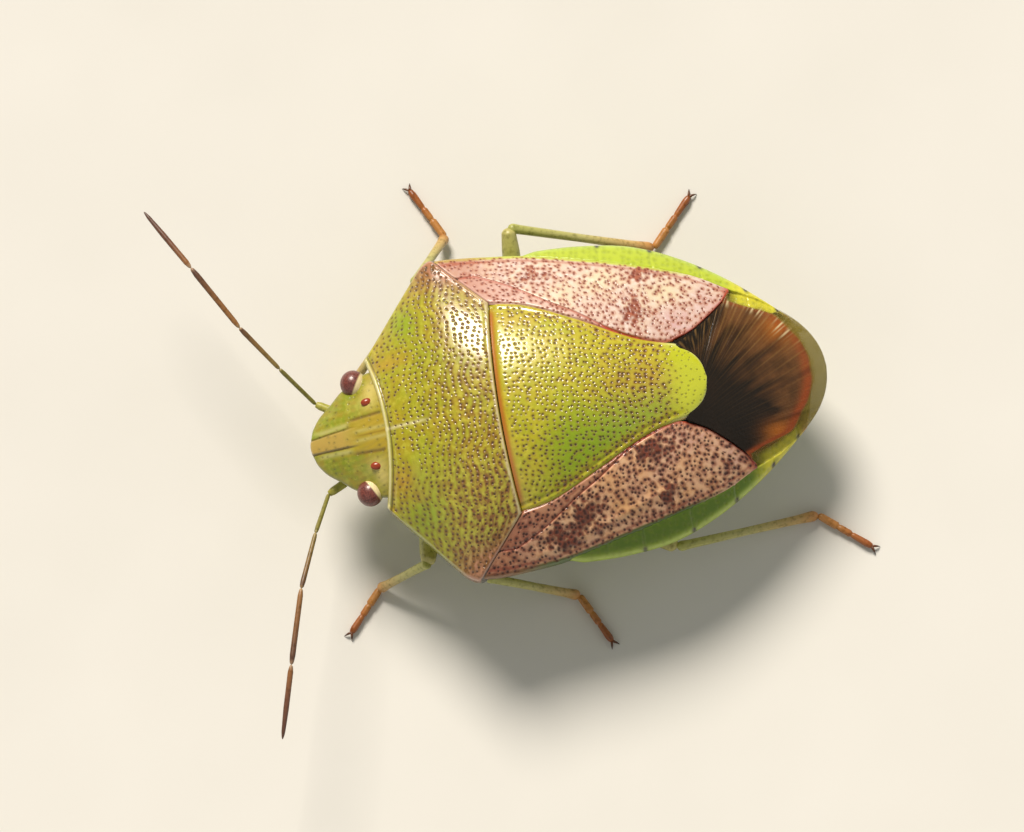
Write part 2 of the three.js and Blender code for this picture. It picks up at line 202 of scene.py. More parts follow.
# %% Lamps and world
def linear(hex_colour):
    """sRGB hex to linear RGBA: c / 12.92 below 0.04045, else ((c + 0.055) / 1.055)^2.4."""
    c = np.array([int(hex_colour[i:i + 2], 16) for i in (1, 3, 5)]) / 255
    rgb = np.where(c <= 0.04045, c / 12.92, ((c + 0.055) / 1.055) ** 2.4)
    return (*map(float, rgb), 1.0)


def lamp(name, direction, strength, angle, colour):
    """A sun lamp that shines from the given direction in the insect's measures."""
    data = bpy.data.lights.new(name, "SUN")
    data.energy = strength
    data.angle = math.radians(angle)
    data.color = linear(colour)[:3]
    made = bpy.data.objects.new(name, data)
    made.rotation_mode = "QUATERNION"
    made.rotation_quaternion = Vector(direction).to_track_quat("Z", "Y")
    bpy.context.collection.objects.link(made)
    return made


LAMPS = [
    lamp("key", (-0.7, -0.12, 0.72), 4.1, 22, "#fff5e8"),
    lamp("fill", (0.9, -0.7, 0.9), 0.45, 70, "#f6f4ea"),
    lamp("rear", (0.1, 1.0, 0.7), 0.3, 60, "#ffffff"),
]

world = bpy.data.worlds.new("studio")
bpy.context.scene.world = world
world.use_nodes = True
world.node_tree.nodes["Background"].inputs["Color"].default_value = linear("#f2efe6")
world.node_tree.nodes["Background"].inputs["Strength"].default_value = 0.2
bpy.context.scene.view_settings.view_transform = "Standard"  # keeps the greens as saturated as they are
print("lamps:", ", ".join(f"{made.name} {made.data.energy:.2f}" for made in LAMPS))

# %% [markdown]
# ## Nodes and meshes
# Two helpers do all the building. One adds a shader node with its settings and links. The other
# turns rows of rings into a mesh: every piece of this insect is a closed ring carried along a path,
# flat for a plate and round for a leg, with one face to close each end.


# %% A node and a material
def node(tree, kind, inputs=None, **settings):
    """Adds a node. inputs maps a socket's name or number to a value or to an output to link."""
    made = tree.nodes.new(kind)
    for key, value in settings.items():
        setattr(made, key, value)
    for key, value in (inputs or {}).items():
        if isinstance(value, bpy.types.NodeSocket):
            tree.links.new(value, made.inputs[key])
        else:
            made.inputs[key].default_value = value
    return made


def mix(tree, share, first, second):
    """Colour output that goes from first to second with share."""
    made = node(tree, "ShaderNodeMix", {0: share, 6: first, 7: second}, data_type="RGBA")
    return made.outputs[2]


def mark(tree, name):
    """Value output of a mark that the mesh carries at each point."""
    return node(tree, "ShaderNodeAttribute", attribute_name=name).outputs["Fac"]


def start_material(name):
    """A new material, its node tree, its shader and its Object coordinates, which are in metres."""
    material = bpy.data.materials.new(name)
    material.use_nodes = True
    tree = material.node_tree
    coordinates = node(tree, "ShaderNodeTexCoord").outputs["Object"]
    return material, tree, tree.nodes["Principled BSDF"], coordinates


def finish_material(tree, shader, colour, bump=None, **numbers):
    """Links the colour and the bumped normal, and sets the numbers on the shader's own sockets. Coat_Weight
    stands for the socket Coat Weight."""
    tree.links.new(colour, shader.inputs["Base Color"])
    if bump:
        tree.links.new(bump.outputs["Normal"], shader.inputs["Normal"])
    for name, value in numbers.items():
        shader.inputs[name.replace("_", " ")].default_value = value


def lofts(name, bodies, material, replaces=(), marks=None):
    """One piece from bodies, each rows x ring points x 3 in millimetres. Quads join ring to ring, and one
    face closes each end. A body is turned outwards where its signed volume, a third of the sum of
    face centre dot face area vector, is negative."""
    points, corners, sizes, base = [], [], [], 0
    for rings in bodies:
        rows, count, _ = rings.shape
        flat = rings.reshape(-1, 3)
        r = np.arange(rows - 1)[:, None] * count
        c = np.arange(count)[None, :]
        n = (c + 1) % count
        quads = np.stack([r + c, r + n, r + count + n, r + count + c], -1).reshape(-1, 4)
        a, b, d, e = (flat[quads[:, k]] for k in range(4))
        volume = np.einsum("ij,ij->i", (a + b + d + e) / 4, np.cross(d - a, e - b)).sum()
        ends = np.concatenate([np.arange(count)[::-1], np.arange(count) + (rows - 1) * count])
        if volume < 0:
            quads = quads[:, ::-1]
            ends = np.concatenate([np.arange(count), np.arange(count)[::-1] + (rows - 1) * count])
        corners += [quads.ravel() + base, ends + base]
        sizes += [np.full(len(quads), 4), np.full(2, count)]
        points.append(flat)
        base += len(flat)
    points, corners, sizes = np.concatenate(points), np.concatenate(corners), np.concatenate(sizes)
    mesh = bpy.data.meshes.new(name)
    mesh.vertices.add(len(points))
    mesh.vertices.foreach_set("co", metres(points).ravel())
    mesh.loops.add(len(corners))
    mesh.loops.foreach_set("vertex_index", corners.astype(np.int32))
    mesh.polygons.add(len(sizes))
    mesh.polygons.foreach_set("loop_start", np.concatenate([[0], np.cumsum(sizes)[:-1]]).astype(np.int32))
    mesh.polygons.foreach_set("loop_total", sizes.astype(np.int32))
    mesh.polygons.foreach_set("use_smooth", np.ones(len(sizes), bool))
    for key, values in (marks or {}).items():
        layer = mesh.attributes.new(key, "FLOAT", "POINT")
        layer.data.foreach_set("value", np.asarray(values, np.float32).ravel())
    mesh.update()
    mesh.validate()
    mesh.materials.append(material)
    made = bpy.data.objects.new(name, mesh)
    bpy.context.collection.objects.link(made)
    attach(made, "root")
    if replaces:
        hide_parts(*replaces)
    return made


# %% A plate as rings
BELOW = 24  # ring points on the underside of a plate


def plate(x, y, top, depth):
    """Rings of a plate: rows of top points, then the same row again underneath, top minus depth, on
    BELOW columns in the other direction. Returns the rings and the columns used, to carry marks."""
    columns = x.shape[1]
    back_columns = np.linspace(columns - 1, 0, BELOW).round().astype(int)
    upper = np.stack([x, y, top], -1)
    lower = np.stack([x, y, top - depth], -1)[:, back_columns]
    order = np.concatenate([np.arange(columns), back_columns])
    return np.concatenate([upper, lower], 1), order


def at_columns(marks, order):
    """Each mark at the columns that a plate's ring uses."""
    return {key: value[:, order] for key, value in marks.items()}


def all_round(marks):
    """Each mark of the upper surface, followed by that of the lower surface, as one array."""
    return {key: np.concatenate([above, below], 1) for key, (above, below) in marks.items()}


def rounded(distance, radius):
    """Drop of a rounded edge: radius - sqrt(radius^2 - (radius - distance)^2) within the radius."""
    inside = radius - np.clip(distance, 0, radius)
    return radius - np.sqrt(np.maximum(radius**2 - inside**2, 0))


# %% [markdown]
# ## Pits
# The shell is covered in small pits, the mark of the whole family. Each is a brown dot in a dimple.
# A shader pattern could draw the dots, but then they would not sit in their dimples. Here one
# function says how deep in a pit each point lies, and both the mesh and the colour use it.


# %% Pits on a jittered lattice
LATTICE = 96  # cells each way before the random draws repeat
FAR_FROM_PITS = -9.0


def pit_share(x, y, spacing, radius, seed, keep=1.0, turn=0.15, stretch=1.15, wave=0.0, squash=1.0,
              jitter=0.55):
    """1 - distance / radius from the nearest pit: 1 at its middle, 0 at its rim, below 0 outside. A turned
    lattice, stretched along the body and waved by two sines of x, has one pit at a random place in each
    cell. The nine cells round a point are looked at, and a cell takes part where its draw is below keep.
    squash shrinks distances across the body, which draws the shares out into rows, and jitter says how far a
    pit may stray in its cell."""
    y = y + wave * (np.sin(3.7 * x + 1.3 * y) + 0.6 * np.sin(8.3 * x - 2.1 * y + 1))
    c, s = math.cos(turn), math.sin(turn)
    gx, gy = (x * c - y * s) / spacing, (x * s + y * c) / (spacing * stretch)
    ix, iy = np.floor(gx).astype(int), np.floor(gy).astype(int)
    draws = np.random.default_rng(seed).random((LATTICE, LATTICE, 4))
    nearest = np.full_like(gx, FAR_FROM_PITS)
    for dx in (-1, 0, 1):
        for dy in (-1, 0, 1):
            cell = draws[(ix + dx) % LATTICE, (iy + dy) % LATTICE]
            away_x = (gx - ix - dx - 0.5 - jitter * (cell[..., 0] - 0.5)) * spacing
            away_y = (gy - iy - dy - 0.5 - jitter * (cell[..., 1] - 0.5)) * spacing * stretch
            share = 1 - np.hypot(squash * away_x, away_y) / (radius * (0.75 + 0.5 * cell[..., 2]))
            nearest = np.maximum(nearest, np.where(cell[..., 3] < keep, share, FAR_FROM_PITS))
    return nearest


def hollow(share):
    """The dimple itself, from 0 at the pit's rim to 1 over its inner part."""
    return ease(share, 0.0, 0.65)


def halo(share):
    """The stain round a pit, from 0 at two and a third radii to 1 at its rim."""
    return ease(share, -1.35, 0.1)


def blotches(x, y, spots):
    """Sum of bells: each spot is (x, y, half size across, half size along, weight)."""
    total = np.zeros_like(x)
    for sx, sy, wide, long, weight in spots:
        total += weight * np.exp(-(((x - sx) / wide) ** 2) - ((y - sy) / long) ** 2)
    return total


print("a pit at its middle and at its rim:", float(hollow(1.0)), float(hollow(0.0)))

# %% [markdown]
# ## Cuticle
# Insect shell is cuticle: layers of chitin under a thin wax, pigmented below a clear surface. It
# is hard and glossy, with an index near 1.56. Its green is never even: it drifts to yellow over
# tenths of a millimetre. The pits are brown and duller, as their walls catch less light. Painted
# images could hold all this, but noise in millimetres needs no file, and the marks that each mesh
# carries put a colour exactly where the shape has its rim, seam or pit.


# %% Cuticle as a material
FLECK_MM = 0.11
WAX_GRAIN_MM = 0.035  # ten times as coarse as the real one, so that it shows
PIT_DULLNESS = 0.25


def cuticle(name, base, drift, fleck, pit, stain, roughness, extras=(), grain_mm=0.35, coat=0.6):
    """Pigmented cuticle. base drifts to drift over grain_mm and carries flecks a tenth of a millimetre
    across. extras lists (mark, colour). The stain round the pits, broken up by the same flecks, and the
    pits lie over it. Roughness rises in the pits, and a fine noise bump breaks up the shine."""
    material, tree, shader, coordinates = start_material(name)

    drifting = node(tree, "ShaderNodeTexNoise",
                    {"Vector": coordinates, "Scale": 1 / (grain_mm * MM), "Detail": 4.0}).outputs["Fac"]
    share = node(tree, "ShaderNodeMapRange", {"Value": drifting, "From Min": 0.38, "From Max": 0.62})
    colour = mix(tree, share.outputs[0], linear(base), linear(drift))
    small = node(tree, "ShaderNodeTexNoise",
                 {"Vector": coordinates, "Scale": 1 / (FLECK_MM * MM), "Detail": 3.0}).outputs["Fac"]
    flecks = node(tree, "ShaderNodeMapRange",
                  {"Value": small, "From Min": 0.5, "From Max": 0.66, "To Max": 0.7})
    colour = mix(tree, flecks.outputs[0], colour, linear(fleck))
    for extra, tone in extras:
        colour = mix(tree, mark(tree, extra), colour, linear(tone))
    broken = node(tree, "ShaderNodeMapRange",
                  {"Value": small, "From Min": 0.62, "From Max": 0.4, "To Min": 0.3, "To Max": 1.5})
    veined = node(tree, "ShaderNodeMath", {0: mark(tree, "halo"), 1: broken.outputs[0]},
                  operation="MULTIPLY", use_clamp=True)
    colour = mix(tree, veined.outputs[0], colour, linear(stain))
    pit_mark = mark(tree, "pit")
    colour = mix(tree, pit_mark, colour, linear(pit))
    fine = node(tree, "ShaderNodeTexNoise",
                {"Vector": coordinates, "Scale": 1 / (WAX_GRAIN_MM * MM), "Detail": 3.0}).outputs["Fac"]
    bump = node(tree, "ShaderNodeBump", {"Height": fine, "Distance": 0.004 * MM, "Strength": 0.7})
    dull = node(tree, "ShaderNodeMapRange",
                {"Value": pit_mark, "To Min": roughness, "To Max": roughness + PIT_DULLNESS})
    tree.links.new(dull.outputs[0], shader.inputs["Roughness"])
    finish_material(tree, shader, colour, bump, IOR=1.56, Coat_Weight=coat, Coat_Roughness=0.17)
    return material


# waxy green shell under a thick clear layer: deep colour, sharp white highlights
SHIELD = cuticle(
    "glossy_pitted_cuticle_green", "#b09c14", "#a6a614", "#c4bc38", "#4e2a06", "#7c500a", 0.38,
    (("lime", "#8fa60c"), ("amber", "#c0902c"), ("warm", "#b67c5c"), ("pale", "#ded8a0"),
     ("seam", "#d6c8a0"), ("line", "#38200a")), coat=0.9,
)
print("first cuticle:", SHIELD.name)

# %% [markdown]
# ## Pronotum
# The broad shield behind the head. It has a smooth raised rim in front, a pale middle line, pits
# all over except on two smooth patches near the front, and shoulders that turn red-brown. It could
# be sculpted, but its outline is known well, so it is a grid: rows run from side margin to side
# margin, the margin goes out to a blunt shoulder and back, and the height follows from the arch of
# the back. A grid this fine has room for each pit.

# %% Pronotum outline
NECK_HALF = 1.44
HUMERAL = (3.13, 2.84)
REAR_CORNER = (2.05, 3.81)
MARGIN_X, MARGIN_Y = path([(NECK_HALF, 1.28), (2.0, 1.74), (2.82, 2.42), (3.05, 2.64), HUMERAL,
                           (3.04, 3.03), (2.66, 3.36), REAR_CORNER])
PRONOTUM_FRONT, PRONOTUM_REAR = 1.47, 3.69
FRONT_SWEEP = 0.2


def pronotum_rear(x):
    """Rear margin: a shallow arc to the rear corner, then a straight line out to the shoulder."""
    a = np.abs(x)
    arc = lerp(PRONOTUM_REAR, REAR_CORNER[1], (a / REAR_CORNER[0]) ** 2)
    line = lerp(REAR_CORNER[1], HUMERAL[1], (a - REAR_CORNER[0]) / (HUMERAL[0] - REAR_CORNER[0]))
    return np.where(a <= REAR_CORNER[0], arc, line)


def pronotum_front(x):
    """Front margin: an arc that falls forward by the sweep at the neck's corners."""
    return PRONOTUM_FRONT - FRONT_SWEEP * (np.abs(x) / NECK_HALF) ** 2


print("pronotum:", 2 * HUMERAL[0], "mm across the shoulders")

# %% Pronotum surface
SHIELD_COLUMNS, SHIELD_ROWS = 420, 205
PIT_DEPTH = 0.015
SHOULDER = (3.05, 2.85)  # middle of the swelling
SWELLING, SWELLING_SIZE = 0.07, 0.28
ROWS_OF_PITS = {"spacing": 0.092, "radius": 0.029, "seed": 11, "stretch": 1.35, "turn": 0.06, "wave": 0.05}

v, u = np.meshgrid(np.linspace(0, 1, SHIELD_ROWS), np.linspace(-1, 1, SHIELD_COLUMNS), indexing="ij")
x = MARGIN_X(v) * u
y = lerp(lerp(PRONOTUM_FRONT, PRONOTUM_REAR, v), MARGIN_Y(v), u * u)
side = (1 - np.abs(u)) * MARGIN_X(v)
front = y - pronotum_front(x)
rear = np.clip(pronotum_rear(x) - y, 0, 9)
smooth_patches = blotches(np.abs(x), y, [(0.75, 1.85, 0.42, 0.13, 1.0)])
keep = 1 - 0.7 * np.clip(smooth_patches, 0, 1)
share = pit_share(x, y, keep=keep, **ROWS_OF_PITS)
stain = halo(pit_share(x, y, keep=keep, squash=0.5, **ROWS_OF_PITS))
inside = ease(front, 0.08, 0.14) * ease(side, 0.03, 0.08) * ease(rear, 0.04, 0.08)
pit = hollow(share) * inside
from_shoulder = np.hypot(np.abs(x) - SHOULDER[0], y - SHOULDER[1])
top = back(x, y) - rounded(side, 0.06) - rounded(front, 0.05) - rounded(rear, 0.05)
front_rim = 0.022 * bell(front - 0.045, 0.028) - 0.03 * bell(front - 0.12, 0.04)
rear_rim = 0.02 * bell(rear - 0.07, 0.05)
top = top + front_rim + rear_rim + SWELLING * bell(from_shoulder, SWELLING_SIZE)
top = top + 0.03 * smooth_patches - PIT_DEPTH * pit
depth = 0.5 * np.sqrt(np.clip(np.minimum(v, 1 - v) / 0.06, 0.003, 1)) * lerp(1, 0.55, u * u)
rings, order = plate(x, y, top, depth)
print("share of the pronotum in pits:", round(float((pit > 0.5).mean()), 3))

# %% Colours of the pronotum
AMBER_SPOTS = [(-1.24, 1.72, 0.14, 0.3, 1), (1.05, 1.68, 0.2, 0.2, 1), (1.4, 1.9, 0.12, 0.2, 0.6)]
LIME_SPOTS = [(-1.95, 2.15, 0.35, 0.3, 0.9), (1.75, 1.98, 0.45, 0.35, 0.9), (-1.1, 2.3, 0.6, 0.5, 0.3),
              (0.9, 2.2, 0.7, 0.5, 0.4)]
shoulder = ease(from_shoulder, 0.9, 0.1)
hind_edge = bell(rear, 0.28) * ease(np.abs(x), 1.8, 2.3)
# the brown stain round the pits grows to the rear and at the shoulders, and the part of it that grows to the
# insect's left is painted shade
stain_and_shade = 0.15 + 0.4 * ease(y, 1.9, 3.2) + 0.25 * ease(x, 0.3, 2.2) + 0.4 * shoulder
marks = {
    "pit": pit,
    "halo": stain * inside * np.clip(stain_and_shade, 0, 0.9),
    "warm": np.clip(0.85 * shoulder + 0.7 * hind_edge, 0, 1),
    "amber": 0.6 * blotches(x, y, AMBER_SPOTS),
    "lime": np.clip(blotches(x, y, LIME_SPOTS) + 0.4 * ease(x, 1.6, 2.6), 0, 0.9),
    "pale": np.clip(0.8 * bell(x, 0.032) * ease(y, 2.5, 2.1) + 0.9 * bell(front - 0.04, 0.025), 0, 1),
    "seam": 0.85 * bell(rear - 0.055, 0.028) * ease(np.abs(x), 2.4, 2.0),
    "line": np.clip(bell(rear, 0.018) + 0.8 * bell(front - 0.1, 0.016), 0, 1),
}
lofts("pronotum_shell", [rings], SHIELD, ["pronotum"], at_columns(marks, order))

# %% [markdown]
# ## Scutellum
# The long triangle over the middle of the back. It starts in a groove behind the pronotum, which
# is orange-brown, and ends in a round smooth tip of a clear lime green. A flat triangle with a
# bevel would look like card. Here a dome lies on the arch of the back, so the light makes one
# soft highlight on it. Its rows follow the pronotum's rear margin, so the groove is even.

# %% Scutellum surface
SCUTELLUM_COLUMNS, SCUTELLUM_ROWS = 285, 295
SCUTELLUM_PITS = {"spacing": 0.093, "radius": 0.027, "seed": 23, "wave": 0.04, "jitter": 0.7}
DOME, TIP_DOME = 0.14, 0.07

v, u = np.meshgrid(np.linspace(0, 1, SCUTELLUM_ROWS), np.linspace(-1, 1, SCUTELLUM_COLUMNS), indexing="ij")
front_line = pronotum_rear(2.0 * u) + 0.01
y = lerp(front_line, SCUTELLUM_TIP, 1 - (1 - v) ** 1.35)
half = SCUTELLUM_HALF(y) + 0.01
x = half * u
side = (1 - np.abs(u)) * half
front = y - front_line
tip = ease(y, 6.7, 7.3)
share = pit_share(x, y, keep=1 - 0.3 * tip, **SCUTELLUM_PITS)
inside = ease(side, 0.04, 0.09) * ease(front, 0.1, 0.18)
pit = hollow(share) * inside
dome = lerp(DOME * (1 - u * u) - 0.04, TIP_DOME * (1 - u**4), tip)
groove, side_groove = 0.06 * bell(front, 0.1), 0.02 * bell(side - 0.13, 0.04) * (1 - tip)
top = back(x, y) + dome - groove - rounded(side, 0.08) - side_groove - PIT_DEPTH * (1 - 0.6 * tip) * pit
depth = 0.35 * np.sqrt(np.clip(np.minimum(v, 1 - v) / 0.04, 0.004, 1))
rings, order = plate(x, y, top, depth)
print("scutellum:", round(float(y.max() - y.min()), 2), "mm long")

# %% Colours of the scutellum
# the same waxy shell, yellower, with a tip of clear lime green
SCUTELLUM_CUTICLE = cuticle(
    "glossy_pitted_cuticle_lime_tip", "#c2b01c", "#b2b018", "#d2c63a", "#462604", "#86600e", 0.36,
    (("lime", "#88a80a"), ("warm", "#b4882c"), ("tip", "#c2ca14"), ("pale", "#e9eeb4"), ("seam", "#b06810")),
    coat=0.9,
)
REAR_STAIN = [(-0.1, 6.4, 0.7, 0.8, 1)]
WARM_SPOTS = [(-0.15, 6.5, 0.35, 0.8, 0.9), (-1.6, 4.3, 0.3, 0.4, 0.5)]
# sides darkens both side edges, where the scutellum meets the coria: brown stain round the pits, and painted
# shade in the gap
sides = bell(side - 0.12, 0.13) * ease(y, 4.0, 4.8)
stain_and_shade = np.clip(0.34 + 0.4 * blotches(x, y, REAR_STAIN) + 0.5 * sides, 0, 0.85)
lime = np.clip(0.1 + 0.85 * ease(x, -0.3, 1.0) * ease(y, 4.0, 5.0), 0, 1)
marks = {
    "pit": pit * (1 - 0.55 * tip),
    "halo": halo(share) * inside * stain_and_shade * (1 - tip),
    "warm": 0.5 * blotches(x, y, WARM_SPOTS) * (1 - tip),
    "lime": lime * (1 - tip) * (1 - 0.75 * sides),
    "tip": 0.9 * tip,
    # the pale rim round the smooth tip is a painted highlight
    "pale": np.clip(tip * bell(side, 0.06) * 0.7, 0, 1),
    "seam": bell(front - 0.02, 0.07) * ease(np.abs(u), 1.0, 0.85),
}
marks = at_columns(marks, order)
lofts("scutellum_shell", [rings], SCUTELLUM_CUTICLE, ["scutellum"], marks)

# %% [markdown]
# ## Corium
# The leathery fore part of each wing, pinkish brown and thickly pitted. Between the scutellum and
# a red seam lies a strip of its own, the clavus. Its outer edge is green like the body's rim, and
# its rear edge has a red border where the membrane starts. The two wings could be mirrored, but in
# life their stains differ, so one function makes both from lists of spots. The pits lie thicker
# and closer where the wing is dark, because the same stain fills them.

# %% Corium colours
CLAVUS = along([(3.6, 2.66), (4.2, 2.36), (4.93, 1.88), (5.4, 1.6), (5.98, 1.19), (6.37, 0.98), (6.6, 0.9)])
DARK_SPOTS = {
    1: [(1.3, 6.35, 0.22, 0.28, 1.0), (2.12, 6.6, 0.24, 0.17, 1.0), (2.25, 5.0, 0.28, 0.28, 0.9),
        (2.6, 4.5, 0.2, 0.4, 0.7), (1.7, 7.9, 0.3, 0.3, 0.3), (1.1, 6.9, 0.2, 0.3, 0.5)],
    -1: [(1.5, 6.5, 0.24, 0.26, 0.8), (2.3, 6.65, 0.13, 0.16, 1.0), (2.5, 4.75, 0.2, 0.25, 0.5),
         (2.25, 7.0, 0.15, 0.3, 0.4)],
}
PALE_SPOTS = {
    1: [(2.2, 5.75, 0.22, 0.35, 1.0), (1.75, 5.6, 0.2, 0.3, 0.8), (1.75, 7.25, 0.25, 0.25, 0.5)],
    -1: [(2.2, 6.0, 0.25, 0.45, 1.0), (1.8, 7.1, 0.25, 0.35, 1.0), (2.0, 5.2, 0.25, 0.3, 0.6)],
}
# leathery cuticle has little wax, so it shines softly. Key -1 is the right wing, and 1 the left one.
CORIUM = {
    -1: cuticle("leathery_cuticle_pink", "#d8beb0", "#dec8b0", "#e6d6ce", "#7a2c12", "#a85e42", 0.4,
                (("pale", "#e0d4ae"), ("dark", "#6e2e1c"), ("clavus", "#d2aca0"), ("green", "#bcc840"),
                 ("warm", "#b26c56"), ("rosy", "#d2a4a8"), ("seam", "#b03c1c")), coat=0.4),
    # the left wing's green outer edge is a dark green: painted shade on the side away from the key lamp
    1: cuticle("leathery_cuticle_peach", "#e6b080", "#e2b292", "#eec49a", "#44180a", "#7a3820", 0.4,
               (("pale", "#e2ac74"), ("dark", "#48180c"), ("clavus", "#a86c50"), ("green", "#3f5c08"),
                ("warm", "#a86048"), ("rosy", "#c89a94"), ("seam", "#a02c18")), coat=0.4),
}
STAINED = {1: 0.52, -1: 0.5}  # how strongly the pits stain the ground
# the dark strip beside the scutellum is painted shade, much stronger on the left wing, away from the key lamp
SHADED_EDGE = {1: 0.85, -1: 0.2}  # how dark the strip beside the scutellum is
ROSY_SPOTS = [(1.15, 7.3, 0.3, 0.45, 1.0), (1.5, 8.0, 0.22, 0.3, 0.8)]
print("coria:", ", ".join(material.name for material in CORIUM.values()))

# %% Corium surface
CORIUM_COLUMNS, CORIUM_ROWS = 112, 520
CORIUM_PITS = {"spacing": 0.084, "wave": 0.03, "jitter": 0.9}
PIT_RADIUS = {1: 0.033, -1: 0.028}
SEED = {1: 32, -1: 30}
UNDER_SHIELD = (0.06, 0.16)  # how far the inner and outer corner start under the pronotum


def corium(name, side_sign, replaced):
    """Rows from the inner edge, along the scutellum and then the suture, to the outer edge of the wing. The
    height is that of the back, less a groove along the clavus and by the scutellum, plus a long vein and
    the swelling beside the shoulder."""
    v, s = np.meshgrid(np.linspace(0, 1, CORIUM_ROWS), np.linspace(0, 1, CORIUM_COLUMNS), indexing="ij")
    inner_y = lerp(pronotum_rear(2.1) - UNDER_SHIELD[0], CORIUM_TIP, v)
    outer_y = lerp(pronotum_rear(HUMERAL[0]) - UNDER_SHIELD[1], CORIUM_TIP, v)
    inner_x = lerp(SCUTELLUM_HALF(inner_y) - 0.02, SUTURE(inner_y), ease(inner_y, 6.85, 7.2))
    outer_x = WING_HALF(outer_y) + 0.03
    x, y = lerp(inner_x, outer_x, s), lerp(inner_y, outer_y, s)
    width = outer_x - inner_x
    inner, outer = s * width, (1 - s) * width
    start = y - pronotum_rear(x)
    ragged = 0.07 * np.sin(9 * y + 5 * x) + 0.05 * np.sin(23 * y - 13 * x), 0.07 * np.sin(11 * x - 7 * y)
    dark = np.clip(blotches(x + ragged[0], y + ragged[1], DARK_SPOTS[side_sign]), 0, 1)
    keep = np.clip(0.85 + 0.3 * dark, 0, 1)
    radius = PIT_RADIUS[side_sign] + 0.012 * dark
    share = pit_share(x, side_sign * y, radius=radius, seed=SEED[side_sign], keep=keep, **CORIUM_PITS)
    stain = halo(share)
    spot = np.clip(1.6 * dark - 0.8 + 0.8 * stain, 0, 1)
    inside = ease(start, 0.03, 0.08) * ease(outer, 0.02, 0.06) * ease(inner, 0.01, 0.04)
    pit = hollow(share) * inside
    clavus_edge = x - CLAVUS(y)
    clavus = ease(clavus_edge, 0.02, -0.03) * ease(y, 6.6, 6.3)
    groove = bell(clavus_edge, 0.024) * ease(y, 6.7, 6.4)
    vein = bell(x - lerp(2.85, 1.75, ease(y, 3.6, 8.0)), 0.09) * ease(y, 3.7, 4.2) * ease(y, 7.2, 6.6)
    height = back(x, y) - 0.02 - rounded(outer, 0.06) - rounded(inner, 0.05) * ease(y, 7.0, 7.2)
    height = height - 0.03 * groove + 0.03 * vein - 0.013 * pit - 0.03 * ease(start, 0.04, -0.03)
    swelling = 0.06 * bell(np.hypot(x - HUMERAL[0], y - HUMERAL[1]), SWELLING_SIZE)
    height = height - 0.05 * bell(inner, 0.05) * ease(y, 7.2, 6.9) + swelling
    depth = 0.12 * np.sqrt(np.clip(np.minimum(v, 1 - v) / 0.03, 0.01, 1))
    rings, order = plate(side_sign * x, y, height, depth)
    rear_border = bell(inner, 0.06) * ease(inner_y, 6.9, 7.2) + 0.8 * ease(y, 8.15, 8.36)
    inner_line = 0.8 * bell(inner - 0.03, 0.05) * ease(y, 5.2, 6.1) * ease(y, 7.2, 6.9)
    # painted shade in the strip beside the scutellum, carried in the dark mark with the real dark spots
    shaded = SHADED_EDGE[side_sign] * bell(inner - 0.01, 0.045) * ease(y, 7.0, 6.7)
    marks = {
        "pit": pit,
        "halo": stain * inside * np.clip(STAINED[side_sign] + 0.4 * dark, 0, 0.9),
        "dark": np.maximum(0.9 * spot, shaded),
        "pale": np.clip(0.8 * blotches(x, y, PALE_SPOTS[side_sign]), 0, 1) * (1 - dark),
        "clavus": 0.7 * clavus,
        "green": ease(outer, 0.1, 0.05) * ease(y, 8.0, 7.0),
        "warm": np.clip(0.6 * ease(y, 4.4, 3.3) + 0.7 * bell(outer - 0.13, 0.03), 0, 1),
        "rosy": np.clip(0.7 * blotches(x, y, ROSY_SPOTS), 0, 1) * (1 - dark) * (1 - 0.8 * stain),
        "seam": np.clip(0.75 * groove + rear_border + inner_line, 0, 1),
    }
    return lofts(name, [rings], CORIUM[side_sign], [replaced], at_columns(marks, order))


corium("corium_shell_left", 1, "corium_left")
corium("corium_shell_right", -1, "corium_right")

# %% [markdown]
# ## Membrane
# The hind part of each wing is a clear smoky sheet. At rest the left one lies over the right, so
# its veins cross the tail slantwise: they start on the left suture and fan out to the right rear.
# A flat grid with a picture of veins would do for a distant view. Here each sheet's rows run along
# the veins, from the wing's suture to its far edge, so that veins and creases are raised in the
# mesh and turn with the fan.


# %% A point that moves along a polyline
def on_line(points, share):
    """Position at each share of the length of a polyline through the points."""
    points = np.array(points, float)
    steps = np.concatenate([[0], np.cumsum(np.linalg.norm(np.diff(points, axis=0), axis=1))])
    at = np.asarray(share) * steps[-1]
    return np.stack([np.interp(at, steps, points[:, k]) for k in range(points.shape[1])], -1)


# %% Outlines of the membranes
END_X, END_Y = path([(1.74, 8.38), (1.5, 8.88), (1.23, 9.28), (0.99, 9.55), (0.75, 9.75), (0.5, 9.89),
                     (0.25, 9.97), (0, 10)])
TAIL = [(-END_X(t), END_Y(t)) for t in np.linspace(0, 1, 50)]
TAIL = TAIL + [(-px, py) for px, py in TAIL[:-1]][::-1]
BASE = [(-0.2, 7.6), (0.5, 7.4), (0.76, 7.15), (0.95, 7.55), (1.2, 7.9), (1.46, 8.2), (1.68, 8.36)]
FAR = [(-0.7, 7.2), (-0.93, 7.58), (-1.18, 7.93), (-1.44, 8.22), *TAIL]
FAR_LOWER = [(0.3, 7.5), (0.5, 8.2), (0.9, 9.0), (0.75, 9.7), *TAIL[:-14][::-1]]
PIGMENT_END = along([(0, 9.68), (0.25, 9.67), (0.6, 9.54), (0.82, 9.38), (1.0, 9.26), (1.15, 9.12),
                     (1.27, 8.84), (1.4, 8.52), (1.5, 8.3)])
print("wings end at", float(END_Y(1.0)), "mm, on", len(TAIL), "points")


# %% Membrane material
CLOUD_MM, WRINKLE_MM = 0.45, 0.05  # the wrinkles are twice as coarse as real ones, so that they show
MEMBRANE_TONES = (("dark", "#0f0b03"), ("glow", "#b0641c"), ("rim", "#94441a"), ("streak", "#94703c"),
                  ("vein", "#241408"), ("painted_glint", "#d8c89c"), ("beyond", "#8c8034"))


